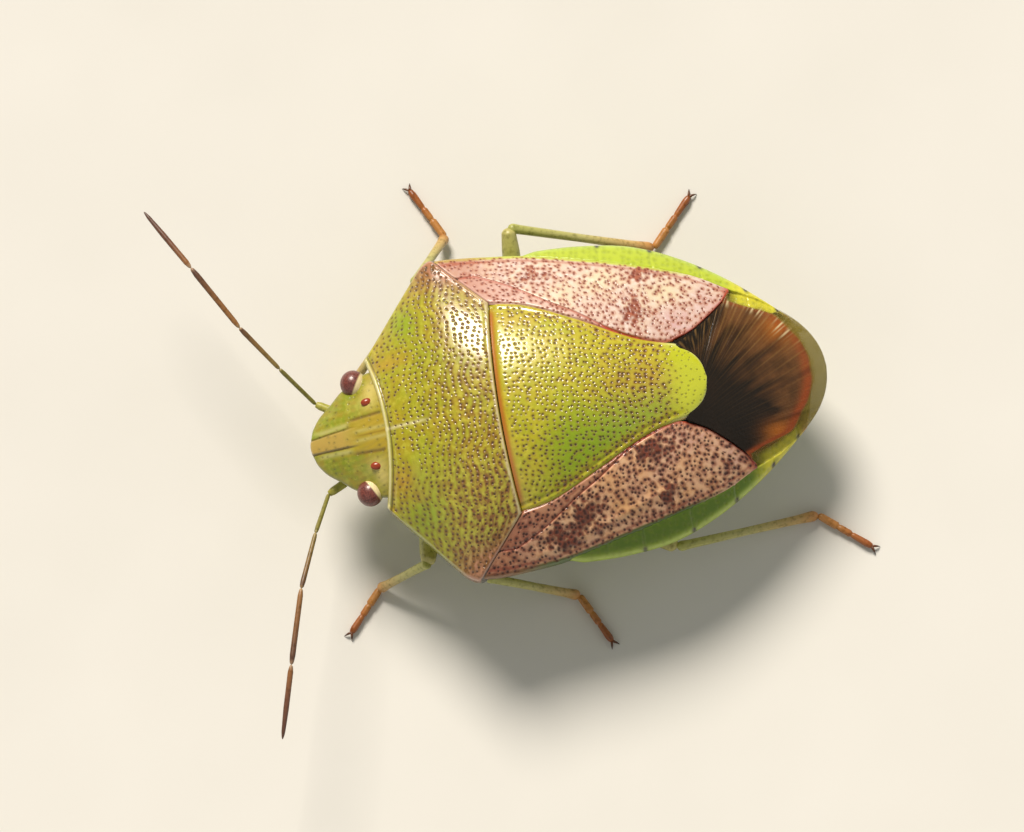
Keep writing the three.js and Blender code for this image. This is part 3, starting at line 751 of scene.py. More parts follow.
def membrane_material():
    """Thin clear cuticle, smoky brown: partly see-through, most of all past the end of the abdomen."""
    material, tree, shader, coordinates = start_material("smoky_wing_membrane")
    cloud = node(tree, "ShaderNodeTexNoise",
                 {"Vector": coordinates, "Scale": 1 / (CLOUD_MM * MM), "Detail": 4.0}).outputs["Fac"]
    share = node(tree, "ShaderNodeMapRange", {"Value": cloud, "From Min": 0.38, "From Max": 0.62})
    colour = mix(tree, share.outputs[0], linear("#4e3216"), linear("#6c4624"))
    for name, tone in MEMBRANE_TONES:
        colour = mix(tree, mark(tree, name), colour, linear(tone))
    fine = node(tree, "ShaderNodeTexNoise",
                {"Vector": coordinates, "Scale": 1 / (WRINKLE_MM * MM), "Detail": 3.0}).outputs["Fac"]
    bump = node(tree, "ShaderNodeBump", {"Height": fine, "Distance": 0.012 * MM, "Strength": 0.9})
    tree.links.new(mark(tree, "solid"), shader.inputs["Alpha"])
    finish_material(tree, shader, colour, bump, Roughness=0.36, Specular_IOR_Level=0.35, IOR=1.5)
    return material


MEMBRANE = membrane_material()
print("membrane:", MEMBRANE.name)

# %% Membranes
VEINS, VEIN_HEIGHT, CREASE_HEIGHT = 7, 0.01, 0.002
LINES, LINE_POINTS = 440, 120


def membrane(name, base, far, sign, lift, replaced):
    """Lines of constant t run from base to far, and s runs along each. A vein is a bell across the lines,
    and fine creases are three sines across them that shift slowly along them."""
    t, s = np.meshgrid(np.linspace(0, 1, LINES), np.linspace(0, 1, LINE_POINTS), indexing="ij")
    start, end = on_line(base, t), on_line(far, t**0.9)
    p = start + (end - start) * s[..., None]
    x, y = sign * p[..., 0], p[..., 1]
    vein = bell(0.5 - np.abs((t * VEINS) % 1 - 0.5), 0.08) * ease(s, 0.25, 0.6) * ease(s, 1.0, 0.85)
    crease = (np.sin(t * 240 + 2 * np.sin(7 * s)) + np.sin(t * 391 + 5 * s) + np.sin(t * 553 - 4 * s)) / 3
    crease = crease * s
    height = back(x, y) + lift + VEIN_HEIGHT * vein + CREASE_HEIGHT * crease
    edge = np.minimum(np.minimum(t, 1 - t) * 40, np.minimum(s, 1 - s) * 30)
    rings, order = plate(x, y, height, 0.03 * np.sqrt(np.clip(edge, 0.05, 1)))
    past = y - PIGMENT_END(np.abs(x))
    beyond = ease(past, -0.02, 0.05)
    near_base = np.clip(1.3 - np.hypot(x - 0.25, y - 7.7) / 1.15, 0, 1)
    # painted_shade_left darkens the sheet on the insect's left, away from the key lamp: painted shade
    painted_shade_left = blotches(x, y, [(1.0, 8.35, 0.45, 0.3, 1.0), (0.75, 8.7, 0.3, 0.3, 0.7)])
    right_edge = ease(past, -0.45, -0.1) * ease(x, -0.35, -0.8)
    by_suture = 0.9 * ease(SUTURE(y) - np.abs(x), 0.5, 0.1) * ease(y, 8.5, 8.0)
    broad = np.sin(t * 74 + 3 * np.sin(4 * s)) * np.sin(t * 29 + 2 * s)
    broad = np.clip(broad, 0, 1) * ease(past, -0.15, -0.6)
    # silver paints whitish glints on the crease ridges near the right edge, where the key lamp catches them:
    # a painted highlight
    glint = np.clip(0.6 + 0.7 * np.sin(t * 61 + 9 * s), 0, 1)
    marks = {
        "dark": np.clip(near_base + painted_shade_left + by_suture + 0.5 * broad, 0, 0.95),
        "glow": np.clip(blotches(x, y, [(1.15, 8.95, 0.2, 0.3, 1.0), (-0.85, 9.2, 0.3, 0.3, 0.7)]), 0, 1),
        "rim": np.clip(bell(past + 0.07, 0.11) * (0.45 + 0.5 * ease(x, -0.6, 0.7)), 0, 1),
        "streak": np.clip(0.9 * crease, 0, 1) * (0.2 + 0.5 * ease(x, 0.3, -0.9)),
        "vein": 0.4 * vein,
        "painted_glint": np.clip(1.6 * crease, 0, 1) * right_edge * 0.8 * glint,
        "beyond": 0.85 * beyond,
        "solid": lerp(0.94, lerp(0.06, 0.5, ease(y, 9.2, 9.6)), beyond),
    }
    return lofts(name, [rings], MEMBRANE, [replaced], at_columns(marks, order))


membrane("membrane_sheet_left", BASE, FAR, 1, 0.02, "membrane_left")
membrane("membrane_sheet_right", BASE, FAR_LOWER, -1, -0.05, "membrane_right")

# %% [markdown]
# ## Abdomen
# Under the wings lies the abdomen. What shows of it from above is its flat rim, the connexivum,
# green, jointed, with a tiny black point at each joint, and an orange-red edge round the tail. Below
# are its pale green rings, each a low step, with a dark breathing hole at each side. Separate
# rings would leave gaps, so it is one closed skin: each row is a ring round the body, and the
# joints are sunk rows.

# %% Rows of the abdomen
JOINTS = (5.3, 6.02, 7.0, 7.9, 8.7, 9.25)
ABDOMEN_ROWS, UPPER_COLUMNS, LOWER_COLUMNS = 330, 170, 110
ABDOMEN_FRONT = 4.3
JOINT_WIDTH = 0.02
TAIL_START, TAIL_HALF = 8.6, 1.78
FRONT_NARROWING = 0.12


def abdomen_half(y):
    """Half width of the abdomen: the body's, less in front, closed as an ellipse over the tail."""
    end = np.clip((y - TAIL_START) / (ABDOMEN_END - TAIL_START), 0, 1)
    closing = np.minimum(HALF_WIDTH(y), TAIL_HALF * np.sqrt(np.maximum(1 - end**2, 0)) + 0.01)
    narrowing = FRONT_NARROWING * ease(y, 4.9, ABDOMEN_FRONT)
    return lerp(HALF_WIDTH(y), closing, ease(y, TAIL_START, 8.9)) - narrowing


rows = lerp(ABDOMEN_FRONT, ABDOMEN_END, 1 - (1 - np.linspace(0, 1, ABDOMEN_ROWS)) ** 1.25)
joint_rows = sum(bell(rows - at, JOINT_WIDTH) for at in JOINTS)[:, None]

# %% Upper surface of the abdomen
UPPER_PITS = {"spacing": 0.11, "radius": 0.032, "seed": 51, "keep": 0.9}
y, u = np.meshgrid(rows, np.linspace(-1, 1, UPPER_COLUMNS), indexing="ij")
half = abdomen_half(y)
x = half * np.sign(u) * np.abs(u) ** 0.7
side = half - np.abs(x)
under_wing = ease(side - (half - WING_HALF(y)), -0.02, 0.05)
sunk = lerp(0.03, 0.16, under_wing) - 0.07 * under_wing * ease(y, 8.3, 8.7) * ease(side, 0.62, 0.5)
upper_share = pit_share(x, y, **UPPER_PITS)
upper_pit = hollow(upper_share) * ease(side, 0.03, 0.06) * ease(y, 9.1, 8.8)
upper = back(x, y) - sunk - rounded(side, 0.09) - 0.02 * joint_rows - 0.012 * upper_pit
print("abdomen:", round(2 * float(half.max()), 2), "mm wide")

# %% Lower surface of the abdomen
LOWER_PITS = {"spacing": 0.14, "radius": 0.03, "seed": 52, "keep": 0.7}
HOLE_PLACE, HOLE_BEHIND_JOINT, HOLE_SIZE = 0.78, 0.45, 0.045
yl, ul = np.meshgrid(rows, np.linspace(1, -1, LOWER_COLUMNS + 2)[1:-1], indexing="ij")
half_below = abdomen_half(yl)
xl = half_below * np.sign(ul) * np.abs(ul) ** 0.85
hole_line = np.abs(xl) - HOLE_PLACE * half_below
hole_rows = [yl - (at + HOLE_BEHIND_JOINT) for at in JOINTS[:-1]]
holes = sum(bell(np.hypot(hole_line, row), HOLE_SIZE) for row in hole_rows)
lower_pit = hollow(pit_share(xl, yl, **LOWER_PITS)) * (1 - np.clip(joint_rows, 0, 1))
lower = under(xl, yl) - 0.03 * joint_rows + 0.006 * lower_pit + 0.03 * holes
rings = np.concatenate([np.stack([x, y, upper], -1), np.stack([xl, yl, lower], -1)], 1)

print("breathing holes:", 2 * len(hole_rows))

# %% Colours of the abdomen
# belly cuticle has a thinner wax, so it shines like satin
ABDOMEN = cuticle(
    "satin_cuticle_belly", "#8b9c44", "#9aa253", "#a8ac66", "#4a4a14", "#7c8c20", 0.42,
    (("upper", "#52700a"), ("painted_light", "#b4c62c"), ("edge", "#b4cc48"), ("tergite", "#20140c"),
     ("tail", "#dcd430"), ("rim", "#ac481a"), ("black", "#14100a")), coat=0.3,
)
black = sum(bell(np.hypot(side - 0.03, y - at), 0.045) for at in JOINTS[1:])
blank = np.zeros_like(xl)
marks = {
    "pit": (0.12 * upper_pit, np.clip(0.4 * lower_pit + 0.9 * holes, 0, 1)),
    "halo": (0.2 * halo(upper_share), blank + 0.35 * joint_rows),
    # upper paints the whole top a dark green, which is painted shade, and lit paints the right side, which
    # faces the key lamp, a light lime, which is painted light
    "upper": (np.ones_like(x), blank),
    "painted_light": (ease(x, 0.3, -1.0), blank),
    "edge": (0.85 * bell(side - 0.02, 0.07) * ease(y, 9.3, 9.1), blank),
    "tergite": (lerp(ease(sunk, 0.08, 0.14), ease(side, 0.52, 0.64), ease(y, 8.4, 8.7)), blank),
    "tail": (ease(y, 8.2, 8.7), blank),
    "rim": (np.clip(ease(y, 9.25, 9.45) * bell(side, 0.3), 0, 1), blank),
    "black": (np.clip(1.3 * black, 0, 1), blank),
}
lofts("abdomen_shell", [rings], ABDOMEN, ["abdomen"], all_round(marks))

# %% [markdown]
# ## Thorax
# The underside between head and abdomen carries the legs. In life it is three rings of several
# plates. Each could be a piece, but from most sides only the flank shows. So it is one skin here,
# with cross seams where the rings meet and pits further apart than those on the back.

# %% Thorax surface
THORAX_SEAMS = (2.62, 3.78)
THORAX_ENDS, THORAX_ROWS, THORAX_BELOW = (1.42, 4.6), 160, 160
THORAX_PITS = {"spacing": 0.12, "radius": 0.034, "seed": 61, "keep": 0.9}
shares = np.linspace(0, 1, THORAX_ROWS)
v, u = np.meshgrid(shares, np.linspace(-1, 1, 40), indexing="ij")
y = lerp(*THORAX_ENDS, v)
half = np.minimum(HALF_WIDTH(y) - 0.07, lerp(1.2, 3.05, ease(v, -0.12, 0.35)))
x = half * u
upper = back(x, y) - lerp(0.25, lerp(0.25, 0.1, ease(y, 2.9, 3.3)), u**6)
yl, ul = np.meshgrid(lerp(*THORAX_ENDS, shares), np.linspace(1, -1, THORAX_BELOW)[1:-1], indexing="ij")
# Known fault: this row runs the same way as the upper one. So each ring crosses itself inside the
# body, the flanks stay open, and the hidden upper skin faces inwards.
xl = -half[:, :1] * ul
seams = sum(bell(yl - at - 0.12 * np.abs(xl) ** 1.3, 0.03) for at in THORAX_SEAMS)
share = pit_share(xl, yl, **THORAX_PITS)
pit = hollow(share) * ease(np.abs(xl), 0.4, 0.7)
keel = 0.05 * bell(xl, 0.2)
lower = under(xl, yl) + 0.04 * seams + 0.012 * pit + keel
rings = np.concatenate([np.stack([x, y, upper], -1), np.stack([xl, yl, lower], -1)], 1)
blank = np.zeros_like(x)
marks = {"pit": (blank, np.clip(0.7 * pit + 0.4 * seams, 0, 1)), "halo": (blank, 0.25 * halo(share))}
# the same satin cuticle, yellower
THORAX = cuticle(
    "satin_cuticle_thorax", "#98a83c", "#aca84c", "#b8b868", "#54481a", "#84803a", 0.44, coat=0.4,
)
lofts("thorax_shell", [rings], THORAX, ["thorax"], all_round(marks))

# %% [markdown]
# ## Head
# A flat wedge with a tan middle lobe between two green side lobes, fine dark lines where they meet,
# and a sharp rim. The lobes could be three pieces, but they are fused in life, so one skin holds
# them: its rows run from the tip back to just under the front rim of the pronotum, and the lobes
# are low steps in it.

# %% Head stations
HEAD_HALF = along([(0, 0.2), (0.03, 0.31), (0.1, 0.43), (0.22, 0.57), (0.46, 0.75), (0.76, 0.97), (1.02, 1.0),
                   (1.25, 1.18), (1.5, 1.24)])
HEAD_RIM = along([(0, 1.96), (0.5, 2.12), (1.0, 2.3), (1.4, 2.4)])
HEAD_UNDER = along([(0, 1.78), (0.35, 1.5), (0.8, 1.32), (1.4, 1.25)])
HEAD_LENGTH = 1.5
TIP_SWEEP = 0.05
UNDER_RIM = 0.06  # how far the head goes in under the pronotum
HEAD_ROWS, HEAD_COLUMNS, HEAD_BELOW = 230, 250, 80
HEAD_PITS = {"spacing": 0.12, "radius": 0.024, "seed": 71, "keep": 0.6}


def head_top(x, y):
    """Height of the head: its rim plus a round arch up to the midline."""
    return lerp(HEAD_RIM(y), MIDLINE(y), 1 - np.clip(np.abs(x) / HEAD_HALF(y), 0, 1) ** 2)


def head_y(u, v):
    """Distance from the tip at share v of the length, swept back a little at the sides of the tip."""
    return lerp(TIP_SWEEP * u * u, pronotum_front(HEAD_HALF(v * HEAD_LENGTH) * u) + UNDER_RIM, v)


print("head:", 2 * float(HEAD_HALF(1.02)), "mm wide at the eyes")

# %% Upper surface of the head
share_back = np.linspace(0, 1, HEAD_ROWS) ** 1.3
v, u = np.meshgrid(share_back, np.linspace(-1, 1, HEAD_COLUMNS), indexing="ij")
station = v * HEAD_LENGTH
x = HEAD_HALF(station) * u
y = head_y(u, v)
lobe_line = lerp(0.14, 0.185, np.clip(y / 0.85, 0, 1))
on_tylus = ease(y, 1.0, 0.6)
line = bell(np.abs(x) - lobe_line, 0.02) * on_tylus
tylus = ease(np.abs(x) - lobe_line, 0.01, -0.03)
rear_line = bell(np.abs(x) - lerp(0.33, 0.36, ease(y, 0.8, 1.4)), 0.034)
rear_line = rear_line * ease(y, 0.72, 0.92) * ease(y, 1.46, 1.4)
side = (1 - np.abs(u)) * HEAD_HALF(station)
wrinkle = np.sin(60 * x + 2.5 * np.sin(5 * y) + 9 * y) * ease(side, 0.05, 0.15) * (1 - tylus * on_tylus)
share = pit_share(x, y, **HEAD_PITS)
pit = hollow(share) * ease(side, 0.05, 0.1)
top = lerp(HEAD_RIM(station), MIDLINE(station), 1 - u * u)
top = top + 0.03 * tylus * on_tylus - 0.02 * line - 0.015 * rear_line + 0.0015 * wrinkle - 0.006 * pit
top = top - rounded(side, 0.05) - rounded(y - TIP_SWEEP * u * u, 0.04)
print("middle lobe:", round(2 * float(lobe_line.max()), 2), "mm wide")

# %% Lower surface of the head
vl, ul = np.meshgrid(share_back, np.linspace(1, -1, HEAD_BELOW + 2)[1:-1], indexing="ij")
below = vl * HEAD_LENGTH
xl = HEAD_HALF(below) * ul
yl = head_y(ul, vl)
low = lerp(HEAD_RIM(below) - 0.12, HEAD_UNDER(below), 1 - np.abs(ul) ** 1.6)
low = lerp(HEAD_RIM(0.0) - 0.06, low, ease(vl, -0.1, 0.12))
rings = np.concatenate([np.stack([x, y, top], -1), np.stack([xl, yl, low], -1)], 1)

# %% Colours of the head
# green cuticle, less waxy than the shields: a softer shine
HEAD = cuticle(
    "glossy_cuticle_head", "#84900f", "#9a8c1a", "#a6a634", "#4a3410", "#6e6a14", 0.4,
    (("base", "#ac9422"), ("tylus", "#bc9c4c"), ("ring", "#ccbc66"), ("pale", "#c0bc74"), ("dark", "#68700c"),
     ("line", "#6a4810")), grain_mm=0.2, coat=0.5,
)
border = bell(np.abs(x) - lobe_line - 0.075, 0.045) * ease(y, 0.85, 0.7) * ease(y, 0.02, 0.3)
vertex = bell(np.abs(x) - 0.09, 0.04) * ease(y, 0.8, 1.0)
between = ease(np.abs(x), 0.36, 0.3) * ease(y, 0.6, 0.95)
seam = bell(x, 0.018) * ease(y, 0.8, 1.0)
blank = np.zeros_like(xl)
near_ocelli = blotches(np.abs(x), y, [(0.62, 1.22, 0.15, 0.17, 1.0), (0.86, 1.3, 0.16, 0.14, 1.0)])
marks = {
    "pit": (0.3 * pit, blank),
    "halo": (0.2 * halo(share), blank),
    "base": (np.clip(0.8 * between + 0.5 * ease(y, 1.0, 1.35), 0, 1), blank),
    "tylus": (0.85 * tylus * on_tylus, blank),
    "ring": (np.clip(0.85 * near_ocelli, 0, 1), blank),
    "pale": (np.clip(0.7 * border + 0.45 * vertex, 0, 1), blank),
    "dark": (0.5 * bell(side, 0.04), blank),
    "line": (np.clip(0.7 * line + 0.7 * rear_line + 0.4 * seam, 0, 1), blank),
}
lofts("head_shell", [rings], HEAD, ["head"], all_round(marks))

# %% [markdown]
# ## Eyes
# Each compound eye is a half-sunk ball of hundreds of lenses, glossy maroon, with a cream
# band at its inner rear. Between them sit two simple eyes, clear orange beads about a fifth of a
# millimetre across. A ball primitive would do. Rings worked out here are as quick, and the same
# loft closes them.


# %% A ball as rings
POLE_GAP = 0.03


def ball(centre, radii, rows=60, columns=72):
    """Rings of an ellipsoid along y: radius sin(a), place -cos(a), with a from just over 0 to just under
    pi, so that each end is a tiny face."""
    slices = np.linspace(POLE_GAP, math.pi - POLE_GAP, rows)
    a, b = np.meshgrid(slices, np.arange(columns) / columns * 2 * math.pi, indexing="ij")
    unit = np.stack([np.sin(a) * np.cos(b), -np.cos(a), np.sin(a) * np.sin(b)], -1)
    return np.array(centre) + unit * np.array(radii)


print("rings and points of a ball:", ball((0, 0, 0), (1, 1, 1)).shape[:2])

# %% Compound eyes
FACET_MM = 0.03  # coarser than the real 0.02, so that the facets show
EYE_PLACE = (1.07, 1.0, 2.27)
EYE_RADII = (0.26, 0.25, 0.23)


def eye_material():
    """Pigment in cells, each a facet with a raised middle, under a clear glossy lens."""
    material, tree, shader, coordinates = start_material("faceted_eye_maroon")
    facets = node(tree, "ShaderNodeTexVoronoi", {"Vector": coordinates, "Scale": 1 / (FACET_MM * MM)})
    facets = facets.outputs["Distance"]
    colour = mix(tree, facets, linear("#8c4c40"), linear("#44191a"))
    colour = mix(tree, mark(tree, "cream"), colour, linear("#e6d6a4"))
    bump = node(tree, "ShaderNodeBump", {"Height": facets, "Distance": 0.004 * MM, "Strength": 0.5},
                invert=True)
    finish_material(tree, shader, colour, bump, Roughness=0.38, IOR=1.5, Coat_Weight=0.5, Coat_Roughness=0.2)
    return material


EYE = eye_material()
for name, sign in (("left", 1), ("right", -1)):
    centre = np.array(EYE_PLACE) * (sign, 1, 1)
    rings = ball(centre, EYE_RADII)
    inner = -sign * (rings[..., 0] - centre[0])
    behind = rings[..., 1] - centre[1]
    cream = ease(0.5 * inner + 0.87 * behind, 0.05, 0.08)
    lofts(f"eye_{name}_lens", [rings], EYE, [f"eye_{name}"], {"cream": cream})

# %% Simple eyes
OCELLUS_PLACE, OCELLUS_RADII, OCELLUS_SUNK = (0.62, 1.21), (0.08, 0.12, 0.06), 0.012
CLOUDING_MM = 0.05
ocellus_height = float(head_top(*OCELLUS_PLACE)) - OCELLUS_SUNK
ocelli = [ball((sign * OCELLUS_PLACE[0], OCELLUS_PLACE[1], ocellus_height), OCELLUS_RADII, 24, 28)
          for sign in (1, -1)]
# a smooth clear lens over orange pigment: one small sharp highlight
OCELLUS, tree, shader, coordinates = start_material("simple_eye_orange")
clouding = node(tree, "ShaderNodeTexNoise", {"Scale": 1 / (CLOUDING_MM * MM), "Vector": coordinates})
colour = mix(tree, clouding.outputs["Fac"], linear("#a0482c"), linear("#882c14"))
finish_material(tree, shader, colour, Roughness=0.22, IOR=1.5)
lofts("ocelli", ocelli, OCELLUS)

# %% [markdown]
# ## Legs, antennae and beak
# A limb segment is a hard tube. A curve with a bevel would make one, but each end needs closing and
# the radius changes often. So here a ring is carried along a short line, with the radius given at a
# few shares of its length. Each segment starts and ends round, so two meet like beads at a joint.
# Colour runs along the limb, so the mesh carries the share of the length as a mark.


# %% Tube along a line
END_ROUND = 0.04  # share of the length in which an end is rounded


def spaced(rows):
    """Shares of the length, closer together at both ends: (1 - cos(pi s)) / 2."""
    return 0.5 - 0.5 * np.cos(math.pi * np.linspace(0, 1, rows))


def tube(a, b, shape, sides=20, rows=60, bow=0.0, floor=None):
    """Rings of a limb from a to b. shape lists (share, radius). The middle is bowed up by bow mm, as
    bow times 4 s (1 - s), and no point goes below floor."""
    a, b = np.array(a, float), np.array(b, float)
    shares = spaced(rows)
    radius = np.interp(shares, *np.array(shape, float).T)
    from_end = np.minimum(shares, 1 - shares)
    ends = np.sqrt(np.clip(1 - (1 - from_end / END_ROUND) ** 2, 0.02, 1))
    radius = radius * np.where(from_end < END_ROUND, ends, 1)
    line = a + (b - a) * shares[:, None]
    line[:, 2] += bow * 4 * shares * (1 - shares)
    forward = (b - a) / np.linalg.norm(b - a)
    reference = np.array([0, 0, 1.0]) if abs(forward[2]) < 0.85 else np.array([1.0, 0, 0])
    sideways = np.cross(forward, reference)
    sideways /= np.linalg.norm(sideways)
    up = np.cross(sideways, forward)
    turn = np.arange(sides) / sides * 2 * math.pi
    ring = np.cos(turn)[:, None] * sideways + np.sin(turn)[:, None] * up
    rings = line[:, None, :] + radius[:, None, None] * ring[None]
    if floor is not None:
        rings[..., 2] = np.maximum(rings[..., 2], floor)
    return rings


def share_marks(bodies):
    """The mark of the share of the length at each ring point, for all bodies of a piece."""
    return {"share": np.concatenate([np.repeat(spaced(len(body)), body.shape[1]) for body in bodies])}


print("a tube's rings and points:", tube((0, 0, 0), (1, 0, 0), [(0, 0.1), (1, 0.1)]).shape[:2])

# %% Cuticle of a limb
MOTTLE_MM = 0.08


def limb_cuticle(name, tones, roughness=0.38):
    """Cuticle of a limb. tones lists (share of the length, colour), joined smoothly, with a fine mottle."""
    material, tree, shader, coordinates = start_material(name)
    ramp = node(tree, "ShaderNodeValToRGB", {0: mark(tree, "share")})
    while len(ramp.color_ramp.elements) < len(tones):
        ramp.color_ramp.elements.new(0.5)
    for element, (at, tone) in zip(ramp.color_ramp.elements, tones):
        element.position = at
        element.color = linear(tone)
    plain = ramp.outputs["Color"]
    mottle = node(tree, "ShaderNodeTexNoise",
                  {"Vector": coordinates, "Scale": 1 / (MOTTLE_MM * MM), "Detail": 3.0}).outputs["Fac"]
    darker = node(tree, "ShaderNodeHueSaturation", {"Color": plain, "Value": 0.6, "Saturation": 1.1})
    share = node(tree, "ShaderNodeMapRange", {"Value": mottle, "From Min": 0.5, "From Max": 0.7})
    colour = mix(tree, share.outputs[0], plain, darker.outputs["Color"])
    bump = node(tree, "ShaderNodeBump", {"Height": mottle, "Distance": 0.004 * MM, "Strength": 0.7})
    finish_material(tree, shader, colour, bump, Roughness=roughness, IOR=1.55)
    return material


# thin cuticle over flesh, satin, with little wax. Feet and claws are tanned darker and harder.
GREEN_LIMB = limb_cuticle("pale_green_limb_cuticle", [(0, "#a2ac4a"), (0.6, "#aeb45c"), (1, "#b8b068")])
TIBIA_CUTICLE = limb_cuticle("green_to_orange_cuticle",
                             [(0, "#acae5c"), (0.5, "#bab472"), (0.85, "#c6a668"), (1, "#bf8040")])
FOOT_CUTICLE = limb_cuticle("orange_brown_cuticle",
                            [(0, "#bd8444"), (0.38, "#b27838"), (0.6, "#a05e22"), (1, "#8c4a1a")])
CLAW_CUTICLE = limb_cuticle("dark_horn_of_claws", [(0, "#6e3c18"), (1, "#2c180c")], 0.3)
print("limb cuticles:", ", ".join(m.name for m in (GREEN_LIMB, TIBIA_CUTICLE, FOOT_CUTICLE, CLAW_CUTICLE)))

# %% Legs
LEGS = {
    "fore_left": (2.1, [(1.0, 2.1, 0.56), (2.47, 1.88, 1.5), (2.61, 0.87, 0.13), (3.37, 0.19, 0.08)]),
    "fore_right": (2.1, [(-1.0, 2.1, 0.56), (-2.3, 1.95, 1.2), (-1.35, 0.9, 0.13), (-0.55, 0.25, 0.08)]),
    "mid_left": (3.3, [(1.15, 3.3, 0.52), (2.94, 2.95, 1.6), (3.35, 4.64, 0.13), (4.33, 5.13, 0.08)]),
    "mid_right": (3.3, [(-1.15, 3.3, 0.52), (-2.93, 2.45, 1.6), (-3.97, 3.17, 0.13), (-5.01, 2.63, 0.08)]),
    "hind_left": (4.3, [(1.2, 4.4, 0.47), (2.86, 6.64, 1.1), (2.54, 9.43, 0.13), (3.31, 10.37, 0.08)]),
    "hind_right": (4.3, [(-1.2, 4.3, 0.47), (-3.72, 4.4, 1.5), (-3.12, 7.13, 0.13), (-4.03, 7.97, 0.08)]),
}
HIP_OUT, HIP_HEIGHT = 0.55, 0.85
COXA = [(0, 0.2), (0.3, 0.29), (0.75, 0.24), (1, 0.15)]
FEMUR = [(0, 0.12), (0.12, 0.18), (0.45, 0.2), (0.85, 0.17), (1, 0.13)]
TIBIA = [(0, 0.11), (0.08, 0.092), (0.5, 0.08), (0.85, 0.088), (0.95, 0.105), (1, 0.095)]
TARSUS = [(0, 0.055), (0.06, 0.072), (0.34, 0.078), (0.37, 0.05), (0.41, 0.066), (0.58, 0.068), (0.61, 0.045),
          (0.65, 0.058), (0.9, 0.07), (1, 0.05)]
CLAW_LENGTH, CLAW_DROP = 0.15, 0.07
CLAW = [(0, 0.03), (0.6, 0.02), (1, 0.004)]

SEGMENTS = {
    "coxa": (COXA, GREEN_LIMB, "leg_cuticle"),
    "femur": (FEMUR, GREEN_LIMB, "leg_cuticle"),
    "tibia": (TIBIA, TIBIA_CUTICLE, "leg_cuticle"),
    "tarsus": (TARSUS, FOOT_CUTICLE, "foot_cuticle"),
}
for name, (row, joints) in LEGS.items():
    chain = [(math.copysign(HIP_OUT, joints[0][0]), row, HIP_HEIGHT), *joints]
    for i, (part, (shape, material, slot)) in enumerate(SEGMENTS.items()):
        rings = tube(chain[i], chain[i + 1], shape, rows=90, floor=0.0)
        replaced = f"{part}_{name}"
        lofts(f"{replaced}_skin", [rings], material, [replaced], share_marks([rings]))
    start, end = np.array(chain[3]), np.array(chain[4])
    ahead = (end - start) / np.linalg.norm(end - start)
    sideways = np.array([ahead[1], -ahead[0], 0])
    down = np.array([0, 0, CLAW_DROP])
    tips = [end + CLAW_LENGTH * (0.8 * ahead + s * 0.6 * sideways) - down for s in (1, -1)]
    claws = [tube(end - 0.02 * ahead, tip, CLAW, 10, 20, bow=0.035, floor=0.0) for tip in tips]
    lofts(f"claws_{name}", claws, CLAW_CUTICLE, marks=share_marks(claws))

# %% Antennae
ANTENNAE = {
    "left": [(0.66, 0.62, 1.62), (0.86, 0.2, 1.6), (1.64, -0.15, 2.15), (2.69, -0.58, 2.4),
             (4.13, -0.99, 2.5), (5.5, -1.38, 2.35)],
    "right": [(-0.66, 0.62, 1.62), (-0.9, 0.22, 1.6), (-1.6, -0.35, 2.15), (-2.47, -0.98, 2.4),
              (-3.75, -1.72, 2.5), (-5.0, -2.45, 2.35)],
}
ANTENNA_SHAPES = [
    [(0, 0.06), (0.2, 0.085), (0.8, 0.08), (1, 0.055)],
    [(0, 0.032), (0.08, 0.04), (0.88, 0.043), (1, 0.034)],
    [(0, 0.032), (0.08, 0.042), (0.88, 0.05), (1, 0.036)],
    [(0, 0.032), (0.1, 0.052), (0.88, 0.056), (1, 0.036)],
    [(0, 0.03), (0.1, 0.054), (0.6, 0.054), (0.9, 0.038), (1, 0.015)],
]
ANTENNA_TONES = [
    [(0, "#b2b24c"), (1, "#a6a03e")],
    [(0, "#a8a468"), (0.05, "#85803a"), (0.96, "#7c7434"), (1, "#a89a68")],
    [(0, "#b0a070"), (0.05, "#86723a"), (0.6, "#7e5e2e"), (0.95, "#5e4026"), (1, "#a88a60")],
    [(0, "#b49870"), (0.06, "#8e6232"), (0.5, "#7c5228"), (0.93, "#563828"), (1, "#a8886a")],
    [(0, "#b49878"), (0.08, "#8c5c30"), (0.45, "#6e4630"), (1, "#54382c")],
]
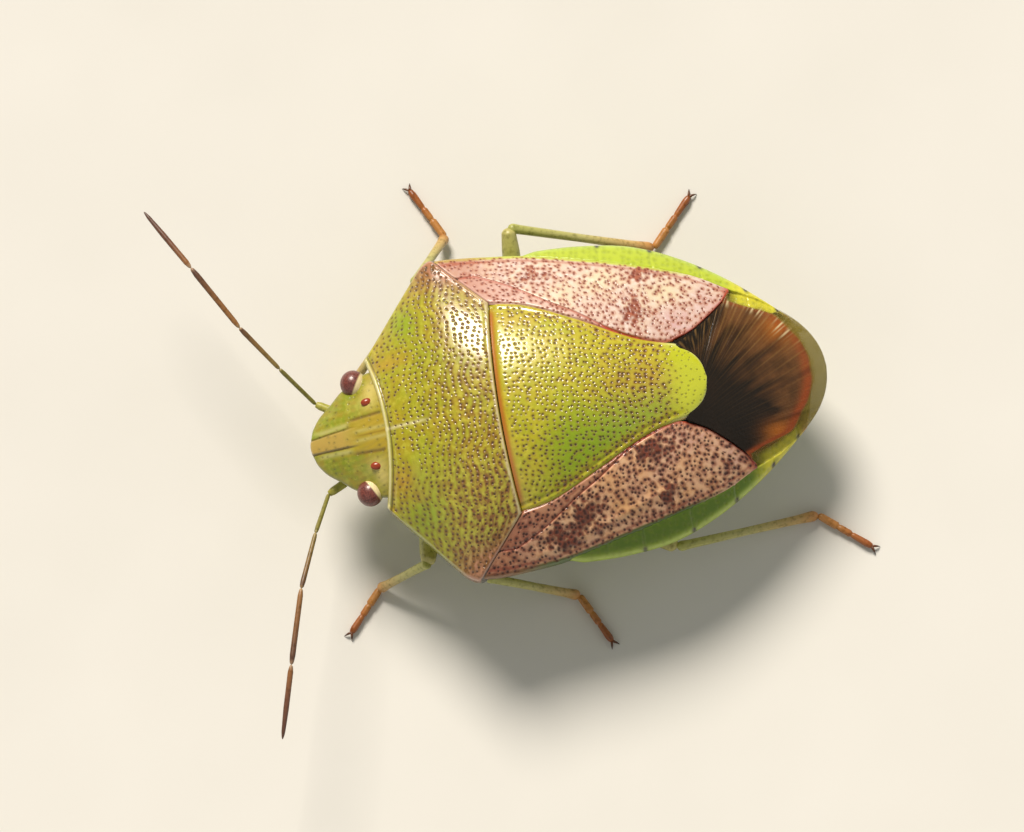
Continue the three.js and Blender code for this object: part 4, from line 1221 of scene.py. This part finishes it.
# the middle segments start and end paler, where the cuticle is thin at the joint
ANTENNA_MATERIALS = [limb_cuticle(f"antenna_cuticle_{i}", tones, 0.42)
                     for i, tones in enumerate(ANTENNA_TONES, 1)]

for side_name, joints in ANTENNAE.items():
    for i, (shape, material) in enumerate(zip(ANTENNA_SHAPES, ANTENNA_MATERIALS)):
        rings = tube(joints[i], joints[i + 1], shape, 16, 60)
        name = f"antenna_{side_name}_{i + 1}"
        lofts(f"{name}_skin", [rings], material, [name], share_marks([rings]))
print("antennae:", len(ANTENNAE) * len(ANTENNA_SHAPES), "segments")

# %% Beak
BEAK = [(0, 0.42, 1.36), (0, 1.25, 0.93), (0, 2.1, 0.78), (0, 3.1, 0.68), (0, 3.95, 0.66)]
BEAK_RADII = [0.13, 0.12, 0.1, 0.085, 0.05]
beak = []
for start, end, wide, narrow in zip(BEAK, BEAK[1:], BEAK_RADII, BEAK_RADII[1:]):
    shape = [(0, wide * 0.85), (0.15, wide), (0.9, narrow * 1.1), (1, narrow * 0.8)]
    beak.append(tube(start, end, shape, 18, 40))
BEAK_CUTICLE = limb_cuticle("beak_cuticle", [(0, "#8c8a3c"), (0.9, "#7d7030"), (1, "#4a3018")])
lofts("beak_sheath", beak, BEAK_CUTICLE, ["beak"], share_marks(beak))

# %% [markdown]
# ## Floor
# A plain pale floor that the feet stand on. It is stage, not part of the bug. One large plane is
# enough, since a matt board has no relief that would show at this distance.

# %% Floor
FLOOR_SIZE, BOARD_GRAIN_MM = 1.2, 10 / 3
bpy.ops.mesh.primitive_plane_add(size=FLOOR_SIZE)
floor = bpy.context.object
floor.name = "floor"
# matt painted board: no highlight, so the shadow stays soft
FLOOR, tree, shader, coordinates = start_material("matt_pale_board")
grain = node(tree, "ShaderNodeTexNoise", {"Vector": coordinates, "Scale": 1 / (BOARD_GRAIN_MM * MM)})
colour = mix(tree, grain.outputs["Fac"], linear("#dddcd6"), linear("#e4e3de"))
finish_material(tree, shader, colour, Roughness=0.9)
floor.data.materials.append(FLOOR)
print("floor:", FLOOR_SIZE, "m square")
